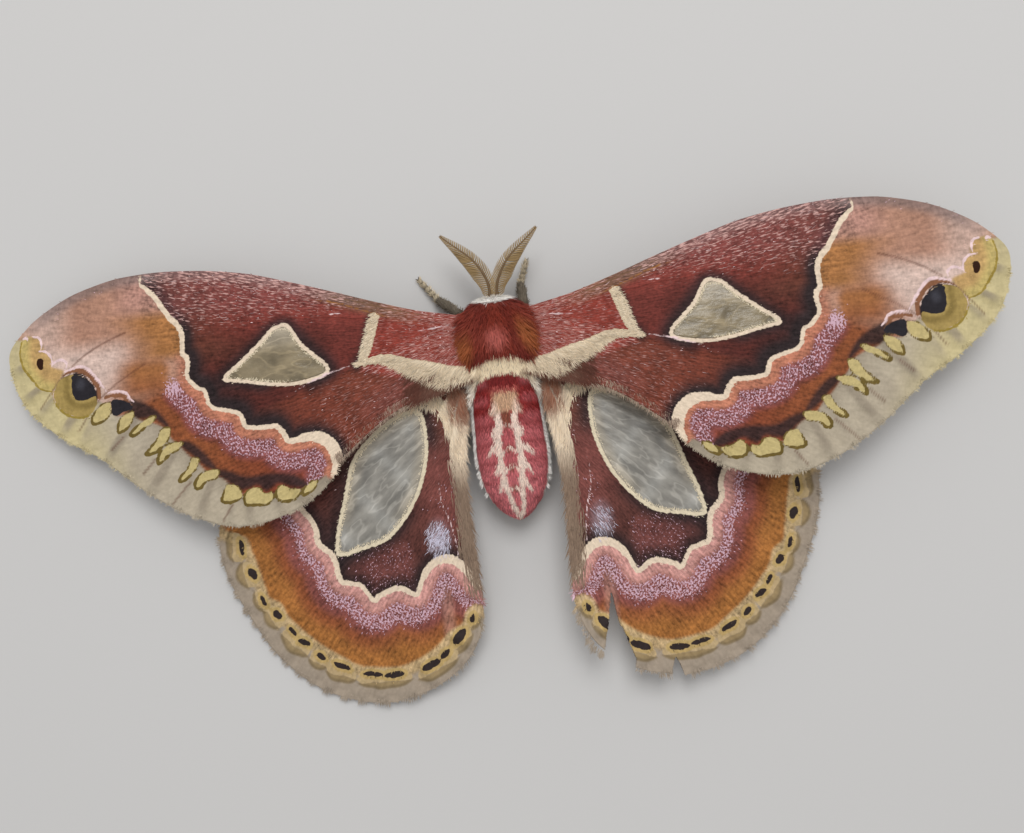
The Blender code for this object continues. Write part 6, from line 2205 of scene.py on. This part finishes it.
class Eyes:
    """Faceted eyes at the sides of the face."""

    RADIUS = 1.05
    CENTRE = (1.8, 4.75, 3.85)

    def build(self, finish: bpy.types.Material) -> None:
        """Builds both eyes."""
        for name, side in (("left", -1.0), ("right", 1.0)):
            ball = Solids()
            ball.ball(np.array([side * self.CENTRE[0], *self.CENTRE[1:]]), np.full(3, self.RADIUS), 48)
            mesh = mesh_of("eyeball_" + name, to_world(np.array(ball.points)), ball.faces)
            mesh.materials.append(finish)
            ride(show("eyeball_" + name, mesh), "eyes", "eye_" + name)


class Claws:
    """Two small hooks on each foot."""

    def build(self, finish: bpy.types.Material) -> None:
        """Builds all claws as one piece."""
        parts = Solids()
        angle = np.linspace(0.0, 2.0 * math.pi, 8, endpoint=False)[:, None]
        for joints in LEGS.values():
            toe = np.array(joints[-1])
            way = toe - np.array(joints[-2])
            way[2] = 0.0
            way = way / np.linalg.norm(way)
            aside = np.array([-way[1], way[0], 0.0])
            for side in (-0.13, 0.13):
                rings = []
                for k in range(6):
                    share = k / 5.0
                    middle = toe + way * 0.42 * share + aside * side * (1.0 + share)
                    rise = 0.06 + 0.12 * math.sin(math.pi * share) - 0.24 * share
                    middle = middle + np.array([0.0, 0.0, rise])
                    r = 0.085 * (1.0 - 0.85 * share)
                    ring = middle + r * (np.cos(angle) * aside + np.sin(angle) * np.array([0.0, 0.0, 1.0]))
                    ring[:, 2] = ring[:, 2].clip(0.01)
                    rings.append(ring)
                parts.loft(rings)
        mesh = mesh_of("claws", to_world(np.array(parts.points)), parts.faces)
        mesh.materials.append(finish)
        ride(show("claws", mesh), "legs")


@dataclass(frozen=True)
class Studio:
    """Pale floor, soft light and the camera."""

    floor_half: float = 1.2
    floor_colour: tuple = (0.62, 0.61, 0.6, 1.0)
    lamp_power: float = 1.5
    lamp_size: float = 0.3
    lamp_place: tuple = (0.05, 0.26, 0.48)
    room_light: float = 0.55
    film_width: float = 36.0
    nearest_seen: float = 0.001
    lens: float = 31.29
    eye: tuple = (0.00257, -0.008788, 0.117093)
    right: tuple = (0.99178, -0.1242, -0.03063)
    down: tuple = (-0.12668, -0.98685, -0.10035)
    ahead: tuple = (-0.01777, 0.10341, -0.99448)

    def build(self) -> None:
        """Builds them all."""
        half = self.floor_half
        corners = np.array([(-half, -half, 0.0), (half, -half, 0.0), (half, half, 0.0), (-half, half, 0.0)])
        floor = show("floor", mesh_of("floor", corners, [(0, 1, 2, 3)]))
        floor.data.materials.append(Shader("pale floor").finish(self.floor_colour, 0.8, 0.1))
        lamp = bpy.data.lights.new("soft lamp", "AREA")
        lamp.energy = self.lamp_power
        lamp.size = self.lamp_size
        light = bpy.data.objects.new("soft lamp", lamp)
        light.location = self.lamp_place
        light.rotation_euler = (-light.location).to_track_quat("-Z", "Y").to_euler()
        bpy.context.scene.collection.objects.link(light)
        world = bpy.data.worlds.new("pale room")
        world.use_nodes = True
        world.node_tree.nodes["Background"].inputs["Color"].default_value = (1.0, 1.0, 1.0, 1.0)
        world.node_tree.nodes["Background"].inputs["Strength"].default_value = self.room_light
        bpy.context.scene.world = world
        camera = bpy.data.objects.new("camera", bpy.data.cameras.new("camera"))
        camera.data.lens = self.lens
        camera.data.sensor_width = self.film_width
        camera.data.clip_start = self.nearest_seen
        axes = Matrix((self.right, -Vector(self.down), -Vector(self.ahead))).transposed()
        camera.matrix_world = Matrix.Translation(self.eye) @ axes.to_4x4()
        bpy.context.scene.collection.objects.link(camera)
        bpy.context.scene.camera = camera
        bpy.context.scene.view_settings.view_transform = "Standard"


ANTENNA_ROUTES = {
    "antenna_left": [(-0.45, 5.0, 4.9), (-0.45, 6.8, 5.3), (-1.05, 8.7, 5.6), (-2.15, 10.6, 5.7),
                     (-5.8, 14.7, 5.6)],
    "antenna_right": [(0.65, 5.0, 4.9), (0.85, 6.8, 5.3), (1.6, 8.5, 5.6), (2.6, 10.1, 5.7),
                      (6.7, 14.3, 5.6)],
}


def wing_plans() -> dict[str, WingPlan]:
    """Plans of the fore and hind wings."""
    coarse = 1.0
    ends = np.sin(np.linspace(0.0, 0.5 * math.pi, int(60 / coarse)))
    columns = np.concatenate([np.linspace(-1.2, 50.0, int(222 / coarse), endpoint=False), 50.0 + 10.4 * ends])
    fore = WingPlan(ForePattern(),
                    np.vstack([spline(ForePattern.INNER[::-1]), spline(ForePattern.OUTER[::-1])[1:]]),
                    spline(ForePattern.COSTA), columns, int(124 / coarse), 0, 1.0 / 66.0)
    rows = np.concatenate([-36.5 - 6.0 * ends[::-1], np.linspace(-36.5, 0.5, int(158 / coarse))[1:]])
    left = np.vstack([spline(HindPattern.CORNER), spline(HindPattern.ANAL)[1:], np.array([(-2.6, 0.6)])])
    right = np.vstack([spline(HindPattern.COSTA), spline(HindPattern.OUTER)[1:]])[::-1]
    hind = WingPlan(HindPattern(), left, right, rows, int(142 / coarse), 1, 1.0 / 80.0)
    return {"forewings": fore, "hindwings": hind}


def main() -> None:
    """Builds the whole scene."""
    logging.basicConfig(level=logging.INFO, format="%(name)s: %(message)s")
    Studio().build()
    coater = Coater(CoatTree(), Shape.tuft(), HairFinish().make())
    scales = ScaleFinish().make()
    plans = wing_plans()
    kinds = {"forewings": ForeWing, "hindwings": HindWing}
    for seed, pose in enumerate(POSES):
        wing = kinds[pose.slot](plans[pose.slot], pose, scales, seed + 3)
        wing.skin()
        wing.coat(coater)
    Body(SkinFinish().make(), coater).build()
    Eyes().build(HornFinish("moth eye", (0.018, 0.012, 0.01), 0.25, 9.0).make())
    Claws().build(HornFinish("claw horn", (0.03, 0.018, 0.01), 0.4).make())
    shaft = HornFinish("antenna shaft", tuple(BodyTint.SHAFT.linear()), 0.55).make()
    for name, route in ANTENNA_ROUTES.items():
        Antenna(name, route, 1.0 if name.endswith("left") else -1.0, coater, shaft).build()


if __name__ == "__main__":
    main()
